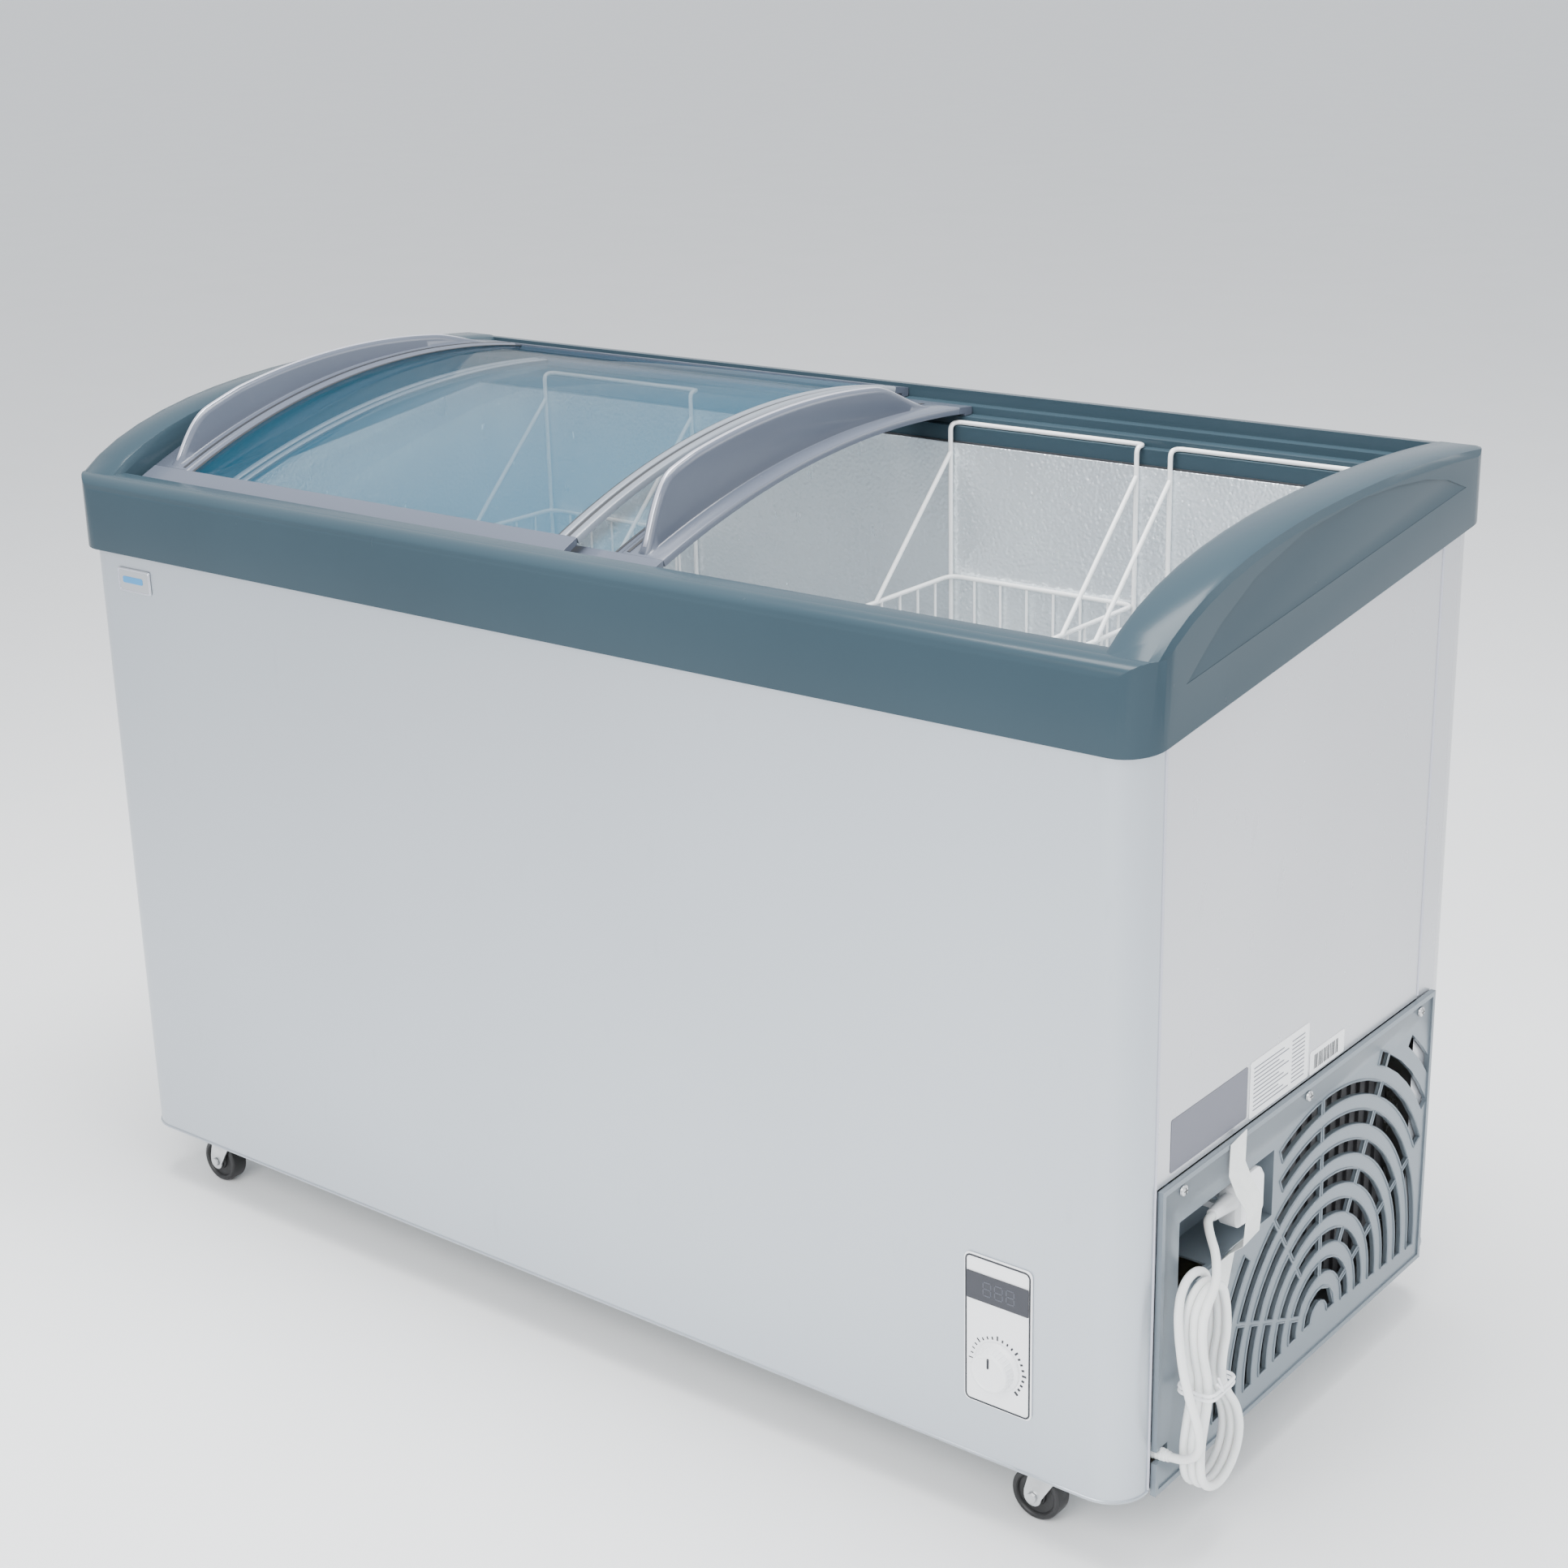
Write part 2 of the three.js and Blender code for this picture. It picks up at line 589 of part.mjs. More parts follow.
function compressor() {
  const pot = solid(turned([
    [0, 14], [66, 14], [76, 30], [78, 100], [76, 165], [60, 192], [30, 200], [0, 201],
  ], 20).translate(440, -130, 0));
  const feet = box(350, 530, -175, -85, 12, 16);
  const grommets = [];
  for (const x of [364, 516]) {
    for (const y of [-163, -97]) {
      grommets.push(solid(turned([[0, SHEET + GAP], [11, SHEET + GAP], [11, 14], [0, 14]], 12)
        .translate(x, y, 0)));
    }
  }
  return union(pot, feet, ...grommets);
}

const FAN = { y: 105, z: 132, radius: 84 };

function fanShroud() {
  const plate = outline([[-32, 20], [242, 20], [242, 244], [-32, 244]]);
  const hole = new THREE.Path();
  hole.absarc(FAN.y, FAN.z, FAN.radius + 4, 0, 2 * Math.PI, false);
  plate.holes.push(hole);
  return alongX(plate, 566, 570).add(box(540, 569, -32, 242, SHEET + GAP, 22));
}

function fanMotor() {
  const can = solid(turnedToX([[0, 0], [34, 0], [34, 44], [8, 48], [0, 48]]))
    .translate([470, FAN.y, FAN.z]);
  const arms = [];
  for (const side of [-1, 1]) {
    const y = FAN.y + side * (FAN.radius + 18);
    arms.push(box(478, 486, Math.min(FAN.y, y), Math.max(FAN.y, y), FAN.z - 6, FAN.z + 6));
    arms.push(box(478, 566 - GAP, y - 4, y + 4, FAN.z - 6, FAN.z + 6));
  }
  return union(can, ...arms);
}

function fanBlade() {
  const hub = solid(turnedToX([[0, 0], [20, 0], [20, 22], [0, 22]], 15)).translate([526, 0, 0]);
  const blades = [];
  for (let i = 0; i < 5; i++) {
    const blade = new THREE.BoxGeometry(2.4, 46, FAN.radius - 18);
    blade.rotateZ(radians(28)).translate(537, 0, (FAN.radius + 16) / 2);
    blades.push(solid(blade.rotateX(radians(i * 72))));
  }
  return union(hub, ...blades).translate([0, FAN.y, FAN.z]);
}

function condenser() {
  const core = box(580, 622, -20, 230, 24, 240);
  const fins = [];
  for (let i = 0; i < 12; i++) fins.push(box(576, 626, -14 + i * 20, -4 + i * 20, 20, 244));
  return union(core, ...fins);
}

function buildMachine(cabinet) {
  piece('machine_grille', machineGrille(), GRILLE_GREY, cabinet);
  GRILLE_SCREWS.forEach(([y, z], i) => {
    const head = turnedToX([[0, 0], [5.5, 0], [5, 1.8], [3, 2.8], [0, 3]], 14);
    const screw = piece(`grille_screw_${i + 1}`, head, ZINC, cabinet);
    screw.position.set(GRILLE_FACE + GAP, y, z);
  });
  piece('compressor', compressor(), BLACK, cabinet);
  piece('condenser', condenser(), DARK_PLASTIC, cabinet);
  piece('fan_shroud', fanShroud(), GALVANISED, cabinet);
  piece('fan_motor', fanMotor(), GALVANISED, cabinet);
  piece('fan_blade', fanBlade(), BLACK, cabinet);
}

// ---- controls --------------------------------------------------------------

function roundedBox(x0, x1, y0, y1, z0, z1, radius) {
  const face = roundedPlan((x1 - x0) / 2, (z1 - z0) / 2, radius);
  return alongY(face, y0, y1).translate([(x0 + x1) / 2, 0, (z0 + z1) / 2]);
}

function buildControls(cabinet) {
  const front = -BODY_Y - GAP;
  piece('control_plate', roundedBox(487, 557, front - 2, front, 56, 202, 6), WHITE_PLASTIC, cabinet);
  const window = roundedBox(490, 554, front - 2.9, front - 2 - GAP, 158, 185, 1);
  piece('display_window', window, DARK_PLASTIC, cabinet);
  const height = KNOB_FRONT - BODY_Y - 2 - 2 * GAP;
  const dial = turnedToFront([
    [0, 0], [23, 0], [23, 2], [20, 3.5], [18.5, height - 2], [16.5, height], [0, height],
  ], 20);
  const knob = piece('thermostat_knob', dial, WHITE_PLASTIC, cabinet);
  knob.position.set(522, -KNOB_FRONT + height, 99);
  const badge = roundedBox(-596, -544, front - 1.5, front, 635, 661, 3);
  piece('badge_plate', badge, SILVER, cabinet);
}

// ---- casters ---------------------------------------------------------------

function casterFork() {
  const leg = new THREE.Shape();
  leg.moveTo(14, 56);
  leg.lineTo(-16, 56);
  leg.lineTo(-WHEEL_TRAIL - 9, 30);
  leg.absarc(-WHEEL_TRAIL, WHEEL_RADIUS, 9, Math.PI, 2 * Math.PI, false);
  const bore = new THREE.Path();
  bore.absarc(-WHEEL_TRAIL, WHEEL_RADIUS, 3.3, 0, 2 * Math.PI, false);
  leg.holes.push(bore);
  const crown = solid(turned([[0, 54.5], [19, 54.5], [19, 57.7], [0, 57.7]]));
  return union(crown, alongY(leg, 12, 14), alongY(leg, -14, -12));
}

function buildCaster(name, x, y, root) {
  const caster = new THREE.Group();
  caster.position.set(x, y, 0);
  root.add(caster);
  const pad = box(-28, 28, -28, 28, 62.7, CASTER_HEIGHT - GAP);
  const race = solid(turned([[0, 58], [20, 58], [21, 63], [0, 63]]));
  piece(`${name}_plate`, pad.add(race), ZINC, caster);
  piece(`${name}_fork`, casterFork(), ZINC, caster);

  const half = WHEEL_WIDTH / 2;
  const tread = turnedToFront([
    [3.3, -half], [10, -half], [20, -half + 2], [WHEEL_RADIUS - 2, -half], [WHEEL_RADIUS, -half + 3],
    [WHEEL_RADIUS, half - 3], [WHEEL_RADIUS - 2, half], [20, half - 2], [10, half], [3.3, half],
    [3.3, -half],
  ], 20);
  const wheel = piece(`${name}_wheel`, tread, BLACK, caster);
  wheel.position.set(-WHEEL_TRAIL, 0, WHEEL_RADIUS);

  const pin = turnedToFront([
    [0, -17], [5, -17], [5, -14.3], [3, -14.3], [3, 14.3], [5, 14.3], [5, 17], [0, 17],
  ], 8);
  const axle = piece(`${name}_axle`, pin, ZINC, caster);
  axle.position.set(-WHEEL_TRAIL, 0, WHEEL_RADIUS);
}

// ---- mains lead ------------------------------------------------------------

// From the cord slot up the left of the hank and over its top.
const CORD_FROM_GLAND = [
  [664, -249, 34], [676, -249.5, 36.5], [687, -251, 43.5], [693.5, -253.5, 54], [695.5, -256, 67],
  [693, -258.5, 85], [687, -260, 105], [681, -260, 126], [677, -260, 148], [674, -259, 168],
  [672, -256, 184], [669, -246, 196], [668, -232, 203],
];
// From the top of the hank to the plug's boot.
const CORD_TO_PLUG = [
  [687, -221, 202], [682, -212, 209], [675, -202.5, 215.5], [666, -193, 220.5], [658, -183.5, 224],
  [652, -174, 226], [650, -165.6, 226],
];
const HANK = { x0: 663, x1: 695.5, top: [-222, 170, 28], bottom: [-203, 30, 40] };
const PLUG = { x: 650, y: -110, z: 222 };

function cordTube(points) {
  const route = new THREE.CatmullRomCurve3(points.map((point) => new THREE.Vector3(...point)));
  const ring = new THREE.Shape();
  ring.absarc(0, 0, CORD_RADIUS, 0, 2 * Math.PI, false);
  const steps = Math.round(route.getLength() / (2.5 * 2 * CORD_RADIUS)) + 4;
  return solid(new THREE.ExtrudeGeometry(ring, {
    steps, extrudePath: route, bevelEnabled: false, curveSegments: 8,
  }));
}

// The bundle's outer shape: two round ends joined by straight sides.
function cordHank() {
  const [topY, topZ, topRadius] = HANK.top;
  const [bottomY, bottomZ, bottomRadius] = HANK.bottom;
  const shape = new THREE.Shape();
  shape.absarc(topY, topZ, topRadius, 0, Math.PI, false);
  shape.absarc(bottomY, bottomZ, bottomRadius, Math.PI, 2 * Math.PI, false);
  return alongX(shape, HANK.x0, HANK.x1, { curveSegments: 6 });
}

function powerPlug() {
  const body = roundedPlan(24, 23, 9);
  const shell = alongX(body, PLUG.x - 14, PLUG.x + 10, {
    depth: 16, bevelEnabled: true, bevelThickness: 4, bevelSize: 4, bevelOffset: -4,
    bevelSegments: 1, curveSegments: 3,
  }).translate([4, PLUG.y, PLUG.z]);
  const boot = solid(turnedToFront([[0, 0], [9, 0], [5.5, 32], [0, 32]], 12))
    .translate([PLUG.x, PLUG.y - 22, PLUG.z + 4]);
  const pins = [[-11, -11, 3, 6], [11, -11, 3, 6], [0, 11, 4, 8]].map(([y, z, w, h]) => {
    const low = PLUG.x - 32;
    return box(low, PLUG.x - 10, PLUG.y + y - w, PLUG.y + y + w, PLUG.z + z - h / 2, PLUG.z + z + h / 2);
  });
  return union(shell, boot, ...pins);
}

function buildLead(cabinet) {
  const gland = turnedToX([[0, 0], [7, 0], [7, 2], [5.5, 3], [5, 18.7], [0, 18.7]], 14);
  piece('cord_gland', gland, CORD_WHITE, cabinet).position.set(644, -249, 34);
  piece('cord_from_gland', cordTube(CORD_FROM_GLAND), CORD_WHITE, cabinet);
  piece('cord_hank', cordHank(), CORD_WHITE, cabinet);
  piece('cord_to_plug', cordTube(CORD_TO_PLUG), CORD_WHITE, cabinet);
  piece('power_plug', powerPlug(), CORD_WHITE, cabinet);
}

// ---- the freezer -----------------------------------------------------------

const freezer = new THREE.Group();
const cabinet = new THREE.Group();
cabinet.position.set(0, CENTRE_SHIFT, CASTER_HEIGHT);
freezer.add(cabinet);

buildCabinet(cabinet);
LIDS.forEach((lid) => buildLid(lid, cabinet));
for (const [name, x] of Object.entries(BASKETS)) {
  piece(name, basket(), WHITE_WIRE, cabinet).position.set(x, 0, 0);
}
buildMachine(cabinet);
buildControls(cabinet);
buildLead(cabinet);

for (const [end, y] of [['front', -CASTER_Y], ['rear', CASTER_Y]]) {
  for (const [side, x] of [['left', -CASTER_X], ['right', CASTER_X]]) {
    buildCaster(`caster_${end}_${side}`, x, y + CENTRE_SHIFT, freezer);
  }
}

export default freezer;
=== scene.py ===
"""The looks of a curved-glass chest freezer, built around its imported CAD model.

Shapes are worked out in millimetres from the middle of the cabinet's underside, with the
front towards -Y, and are turned into the frame's metres when each piece is made.
"""

import json
import math

import bmesh
import bpy
from mathutils import Matrix, Vector

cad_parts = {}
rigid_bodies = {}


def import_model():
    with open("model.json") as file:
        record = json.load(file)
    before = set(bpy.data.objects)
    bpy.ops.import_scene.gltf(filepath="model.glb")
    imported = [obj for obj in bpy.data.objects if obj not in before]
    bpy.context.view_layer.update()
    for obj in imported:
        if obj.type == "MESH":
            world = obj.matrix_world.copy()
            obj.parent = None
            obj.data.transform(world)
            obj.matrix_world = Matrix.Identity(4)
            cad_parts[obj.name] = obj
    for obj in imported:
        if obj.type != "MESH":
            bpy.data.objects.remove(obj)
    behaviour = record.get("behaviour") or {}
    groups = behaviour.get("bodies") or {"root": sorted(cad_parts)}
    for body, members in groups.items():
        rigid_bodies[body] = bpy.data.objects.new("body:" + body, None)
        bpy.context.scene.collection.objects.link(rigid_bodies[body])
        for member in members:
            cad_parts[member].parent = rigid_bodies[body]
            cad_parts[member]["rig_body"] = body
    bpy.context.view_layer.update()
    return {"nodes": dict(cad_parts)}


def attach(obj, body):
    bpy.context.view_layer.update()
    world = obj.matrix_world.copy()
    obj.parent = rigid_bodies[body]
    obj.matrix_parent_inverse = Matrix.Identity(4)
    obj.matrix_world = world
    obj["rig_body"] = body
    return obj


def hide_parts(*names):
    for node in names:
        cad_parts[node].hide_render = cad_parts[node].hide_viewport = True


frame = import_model()

# ---- driving dimensions, in millimetres --------------------------------------------------

CENTRE_SHIFT = 6  # the frame's origin is this far in front of the cabinet's middle
CASTER_HEIGHT = 66
BODY_X, BODY_Y, BODY_RADIUS = 650, 302, 36  # half the width, half the depth, upright corners
SEAM_FRONT_Y, SEAM_REAR_Y = -262, 230  # seams between the wrapped and the flat skins
FRAME_UNDERSIDE, FRAME_SLOPE = 712, 0.126  # the top frame's underside at the tub's front, rising rearwards
TUB_X, TUB_Y = 590, 242  # inner faces of the tub

UPPER_ARC = {"y": 116.2, "z": -42.3, "r": 873.6}  # top face of the left lid's glass
LOWER_ARC = {"y": 158.3, "z": -298.9, "r": 1110.3}  # top face of the right lid's glass
LID_WIDTH, LID_BORDER, LID_TRIM = 608, 58, 22
FIN_FROM, FIN_TO, FIN_HEIGHT = 22, 34, 34  # the fin's two faces, measured from the lid's edge
FIN_RISE, FIN_FALL = 62, 110  # lengths of the fin's front and rear ends

LEDGE_TOP = {"rear": 790, "front": 712}
BASKETS = {"left": -368, "middle": 208, "right": 469}
BASKET_WIDTH, BASKET_FRONT_Y, BASKET_REAR_Y = 228, -228, 238
RIM_Z, BASKET_FLOOR_Z = 632, 380
RIM_WIRE, THIN_WIRE = 2.5, 1.5  # radii

GRILLE_Y, GRILLE_TOP, GRILLE_FACE = 259, 289, 654.4
SLOT_CENTRE = (41, 30)
SLOT_RADIUS, SLOT_PITCH, SLOT_WIDTH = 24, 28.5, 12.5
BRIDGE_WIDTH = 4
BRIDGE_ANGLES = [-4, 27, 61, 93, 124, 157, 184]  # degrees, between one slot and the next
SCREWS_Y, SCREW_Z = (-224, 0, 230), 277

PLATE_FRONT = -304.3  # front face of the control plate
KNOB = {"x": 522, "z": 99, "radius": 23, "seat": -304.6, "front": -320}
CORD_DIAMETER = 8
WHEEL = {"radius": 25, "half": 10, "bore": 3.3, "trail": 14}
CASTER_X, CASTER_Y = 555, 262


def at(x, y, z):
    """A point of the cabinet, given in millimetres, in the frame's metres."""
    return Vector((x, y + CENTRE_SHIFT, z + CASTER_HEIGHT)) / 1000


def underside(y):
    """Height of the top frame's sloping underside."""
    return FRAME_UNDERSIDE + (y + TUB_Y) * FRAME_SLOPE


# ---- camera and light ---------------------------------------------------------------------


def make_camera():
    """A camera off the front right corner, a little above the lids and hardly rolled."""
    azimuth, elevation, roll = (math.radians(angle) for angle in (38.7803, 18.8144, -1.3778))
    place = (1.62289, -1.94518, 1.37729)
    back = Vector((
        math.sin(azimuth) * math.cos(elevation),
        -math.cos(azimuth) * math.cos(elevation),
        math.sin(elevation),
    ))
    level = Vector((0, 0, 1)).cross(back).normalized()
    upright = back.cross(level)
    right = math.cos(roll) * level + math.sin(roll) * upright
    up = math.cos(roll) * upright - math.sin(roll) * level
    data = bpy.data.cameras.new("camera")
    data.lens = 59.637
    data.sensor_width = 36
    camera = bpy.data.objects.new("camera", data)
    turn = Matrix((right, up, back)).transposed()
    camera.matrix_world = Matrix.Translation(place) @ turn.to_4x4()
    bpy.context.scene.collection.objects.link(camera)
    bpy.context.scene.camera = camera


def softbox(name, place, target, size, power, colour=(1, 1, 1)):
    """A rectangular light aimed at a target; places and sizes in metres, power in watts."""
    data = bpy.data.lights.new(name, "AREA")
    data.shape = "RECTANGLE"
    data.size, data.size_y = size
    data.energy = power
    data.color = colour
    light = bpy.data.objects.new(name, data)
    light.location = place
    light.rotation_euler = (Vector(target) - Vector(place)).to_track_quat("-Z", "Y").to_euler()
    bpy.context.scene.collection.objects.link(light)


def make_studio():
    """Soft lights all round, a pale sky and a plain pale floor."""
    softbox("key_light", (0.9, -3.1, 2.4), (0.1, 0, 0.4), (2.6, 2.0), 125, (1, 0.99, 0.98))
    softbox("fill_light", (3.8, -0.9, 2.2), (0.4, 0, 0.4), (2.4, 2.4), 42, (0.95, 0.97, 1))
    softbox("top_light", (0.1, -0.1, 3.1), (0, 0, 0.8), (2.2, 1.4), 150)
    softbox("rear_light", (3.0, 3.4, 2.6), (0, 0, 0.6), (2.2, 1.6), 50)
    world = bpy.data.worlds.new("studio")
    world.use_nodes = True
    background = world.node_tree.nodes["Background"]
    background.inputs["Color"].default_value = (0.92, 0.95, 1.0, 1)
    background.inputs["Strength"].default_value = 1.1
    bpy.context.scene.world = world
    reach = 40
    mesh = bpy.data.meshes.new("floor")
    corners = [(-reach, -reach, 0), (reach, -reach, 0), (reach, reach, 0), (-reach, reach, 0)]
    mesh.from_pydata(corners, [], [(0, 1, 2, 3)])
    floor = bpy.data.objects.new("floor", mesh)
    floor.location.z = -0.0005  # just under the tyres
    mesh.materials.append(surface("floor_paint", (0.93, 0.94, 0.94), 0.7, vary=0.01))
    bpy.context.scene.collection.objects.link(floor)


# ---- materials ----------------------------------------------------------------------------


class Nodes:
    """Adds nodes to a material and links them in short calls."""

    def __init__(self, material):
        self.tree = material.node_tree
        self.shader = self.tree.nodes["Principled BSDF"]
        self.place = self.add("ShaderNodeTexCoord").outputs["Object"]

    def add(self, kind, **settings):
        node = self.tree.nodes.new(kind)
        for key, value in settings.items():
            setattr(node, key, value)
        return node

    def link(self, output, socket):
        self.tree.links.new(output, socket)

    def stretched(self, scale):
        """The object's coordinates, scaled differently along each axis."""
        mapping = self.add("ShaderNodeMapping")
        mapping.inputs["Scale"].default_value = scale
        self.link(self.place, mapping.inputs["Vector"])
        return mapping.outputs["Vector"]

    def noise(self, scale, detail=3, stretch=(1, 1, 1)):
        node = self.add("ShaderNodeTexNoise")
        node.inputs["Scale"].default_value = scale
        node.inputs["Detail"].default_value = detail
        self.link(self.stretched(stretch), node.inputs["Vector"])
        return node.outputs["Fac"]

    def cells(self, scale, feature="F1"):
        node = self.add("ShaderNodeTexVoronoi", feature=feature)
        node.inputs["Scale"].default_value = scale
        self.link(self.place, node.inputs["Vector"])
        return node

    def ranged(self, value, low, high, start=0.0, end=1.0):
        node = self.add("ShaderNodeMapRange")
        for name, number in (("From Min", start), ("From Max", end), ("To Min", low), ("To Max", high)):
            node.inputs[name].default_value = number
        self.link(value, node.inputs["Value"])
        return node.outputs["Result"]

    def blend(self, factor, first, second):
        node = self.add("ShaderNodeMix", data_type="RGBA")
        colours = [s for s in node.inputs if s.type == "RGBA"]
        for socket, value in zip(colours, (first, second)):
            if isinstance(value, tuple):
                socket.default_value = (*value, 1)
            else:
                self.link(value, socket)
        self.link(factor, node.inputs["Factor"])
        return next(s for s in node.outputs if s.type == "RGBA")

    def bump(self, height, distance, strength=1.0):
        node = self.add("ShaderNodeBump")
        node.inputs["Distance"].default_value = distance
        node.inputs["Strength"].default_value = strength
        self.link(height, node.inputs["Height"])
        earlier = self.shader.inputs["Normal"].links
        if earlier:
            self.link(earlier[0].from_socket, node.inputs["Normal"])
        self.link(node.outputs["Normal"], self.shader.inputs["Normal"])


def tinted(colour, factor):
    """The colour made darker or lighter."""
    return tuple(min(1.0, channel * factor) for channel in colour)


def surface(name, colour, rough, metal=0.0, vary=0.06, vary_scale=4.0, scuff=0.06, grain=None, **sockets):
    """A finish with slow changes of colour, faint handling marks that dull it, and a fine grain.

    grain is (noise scale, height in metres, stretch along each axis)."""
    material = bpy.data.materials.new(name)
    material.use_nodes = True
    nodes = Nodes(material)
    shader = nodes.shader
    shader.inputs["Metallic"].default_value = metal
    for socket, value in sockets.items():
        shader.inputs[socket.replace("_", " ")].default_value = value
    cloud = nodes.noise(vary_scale)
    patches = nodes.ranged(cloud, 0, 1, 0.3, 0.7)
    base = nodes.blend(patches, tinted(colour, 1 - vary), tinted(colour, 1 + vary))
    marks = nodes.ranged(nodes.noise(60, 5, (1, 1, 0.3)), 0, 1, 0.66, 0.85)
    worn = nodes.blend(nodes.ranged(marks, 0, 0.3), base, tinted(colour, 0.85))
    nodes.link(worn, shader.inputs["Base Color"])
    nodes.link(nodes.ranged(marks, rough, min(1, rough + scuff + 0.05)), shader.inputs["Roughness"])
    if grain:
        scale, height, stretch = grain
        nodes.bump(nodes.noise(scale, 2, stretch), height)
    return material


def stucco_aluminium():
    """Liner sheet with an embossed pattern of shallow rounded dents."""
    material = surface("stucco_aluminium", (0.88, 0.93, 0.97), 0.26, 0.72, vary=0.05, vary_scale=6)
    nodes = Nodes(material)
    nodes.bump(nodes.cells(240, "SMOOTH_F1").outputs["Distance"], 0.0011)
    nodes.bump(nodes.noise(420, 2), 0.00035)
    return material


def galvanised_steel():
    """Zinc coating with faceted spangles of slightly different greys."""
    material = surface("galvanised_steel", (0.52, 0.54, 0.55), 0.38, 0.9)
    nodes = Nodes(material)
    spangle = nodes.cells(70).outputs["Color"]
    shade = nodes.ranged(spangle, 0, 1)
    colour = nodes.blend(shade, (0.44, 0.46, 0.47), (0.60, 0.62, 0.63))
    nodes.link(colour, nodes.shader.inputs["Base Color"])
    return material


def lid_glass():
    """Reflective tempered glass with a blue-green body tint, a little dirtier in patches."""
    return surface("lid_glass", (0.015, 0.12, 0.20), 0.03, vary=0.05, scuff=0.02, Alpha=0.22,
                   Coat_Weight=0.3, Coat_Roughness=0.02)


def make_materials():
    """Every finish of the freezer, by a short name."""
    fine = (900, 0.00004, (1, 1, 1))
    leather = (1600, 0.00006, (1, 1, 1))
    drawn = (500, 0.00003, (1, 1, 0.02))
    return {
        "steel": surface("coated_steel", (0.475, 0.515, 0.56), 0.3, 0.66, vary=0.07, vary_scale=0.9,
                         grain=(700, 0.00002, (1, 1, 0.05)), Coat_Weight=0.15, Coat_Roughness=0.3),
        "side_steel": surface("side_steel", (0.55, 0.56, 0.585), 0.27, 0.65, vary=0.08, vary_scale=1.5,
                              grain=(700, 0.00002, (1, 1, 0.05)), Coat_Weight=0.15, Coat_Roughness=0.2),
        "galvanised": galvanised_steel(),
        "liner": stucco_aluminium(),
        "foam": surface("foam", (0.78, 0.66, 0.38), 0.9, grain=(300, 0.0006, (1, 1, 1))),
        "teal": surface("frame_moulding", (0.032, 0.055, 0.071), 0.22, vary=0.05, grain=fine, IOR=1.26,
                        Coat_Weight=0.06, Coat_Roughness=0.08),
        "lilac": surface("lid_moulding", (0.088, 0.102, 0.134), 0.24, vary=0.05, grain=fine, IOR=1.4,
                         Coat_Weight=0.2, Coat_Roughness=0.08),
        "pale": surface("lid_strip", (0.19, 0.215, 0.25), 0.28, vary=0.04, grain=fine,
                        Coat_Weight=0.3, Coat_Roughness=0.1),
        # this finish also paints a highlight along the lid fins' tops
        "bright": surface("lid_bright_strip", (0.50, 0.51, 0.58), 0.22, 0.4, vary=0.04, grain=drawn),
        "rubber": surface("rubber_seal", (0.022, 0.024, 0.028), 0.55, vary=0.15, grain=leather),
        "glass": lid_glass(),
        "white_wire": surface("coated_wire", (0.88, 0.89, 0.89), 0.22, vary=0.03, vary_scale=30,
                              grain=(600, 0.00008, (1, 1, 1)), Coat_Weight=0.5, Coat_Roughness=0.06),
        "grille": surface("grille_plastic", (0.185, 0.22, 0.25), 0.32, 0.4, vary=0.06, grain=leather),
        "zinc": surface("zinc_plate", (0.60, 0.61, 0.62), 0.34, 1.0, vary=0.12, vary_scale=60,
                        grain=(800, 0.00005, (1, 1, 1))),
        "black_iron": surface("black_enamel", (0.02, 0.02, 0.022), 0.3, vary=0.2,
                              grain=(300, 0.0001, (1, 1, 1))),
        "fins": surface("condenser_fins", (0.10, 0.10, 0.105), 0.5, 0.6, vary=0.2, vary_scale=40,
                        grain=(500, 0.0002, (1, 1, 0.1))),
        "copper": surface("copper_pipe", (0.62, 0.29, 0.17), 0.3, 1.0, vary=0.15, vary_scale=30),
        # also used as painted shade in the grille screws' cross recesses
        "black_plastic": surface("black_plastic", (0.018, 0.018, 0.02), 0.42, vary=0.15, grain=leather),
        "tyre": surface("caster_tyre", (0.014, 0.014, 0.015), 0.5, vary=0.3, vary_scale=40,
                        grain=(700, 0.0001, (1, 1, 1))),
        "white_plastic": surface("white_moulding", (0.95, 0.96, 0.98), 0.3, vary=0.025, grain=fine,
                                 Coat_Weight=0.2, Coat_Roughness=0.15),
        "print": surface("dark_print", (0.012, 0.014, 0.02), 0.5, vary=0.1),
        "display": surface("display_window", (0.012, 0.014, 0.024), 0.14, vary=0.1, Coat_Weight=0.15,
                           Coat_Roughness=0.03),
        "segment": surface("unlit_segment", (0.06, 0.065, 0.085), 0.35, vary=0.1),
        "badge": surface("badge_metal", (0.55, 0.57, 0.60), 0.28, 0.9, vary=0.05, grain=drawn),
        "badge_inlay": surface("badge_inlay", (0.04, 0.24, 0.50), 0.3, vary=0.05),
        "cord": surface("cord_sheath", (0.88, 0.89, 0.88), 0.38, vary=0.04, vary_scale=20,
                        grain=(900, 0.00008, (1, 1, 1)), Subsurface_Weight=0.05),
        "paper": surface("blank_label", (0.97, 0.98, 0.99), 0.45, vary=0.03, grain=fine),
        "foil": surface("blank_foil_label", (0.13, 0.135, 0.17), 0.4, 0.2, vary=0.04, grain=fine),
        "tape": surface("paper_tape", (0.84, 0.86, 0.84), 0.5, vary=0.06, vary_scale=60,
                        grain=(160, 0.0002, (1, 1, 0.3))),
    }


# ---- mesh building: every builder gives (points in millimetres, faces) ------------------------


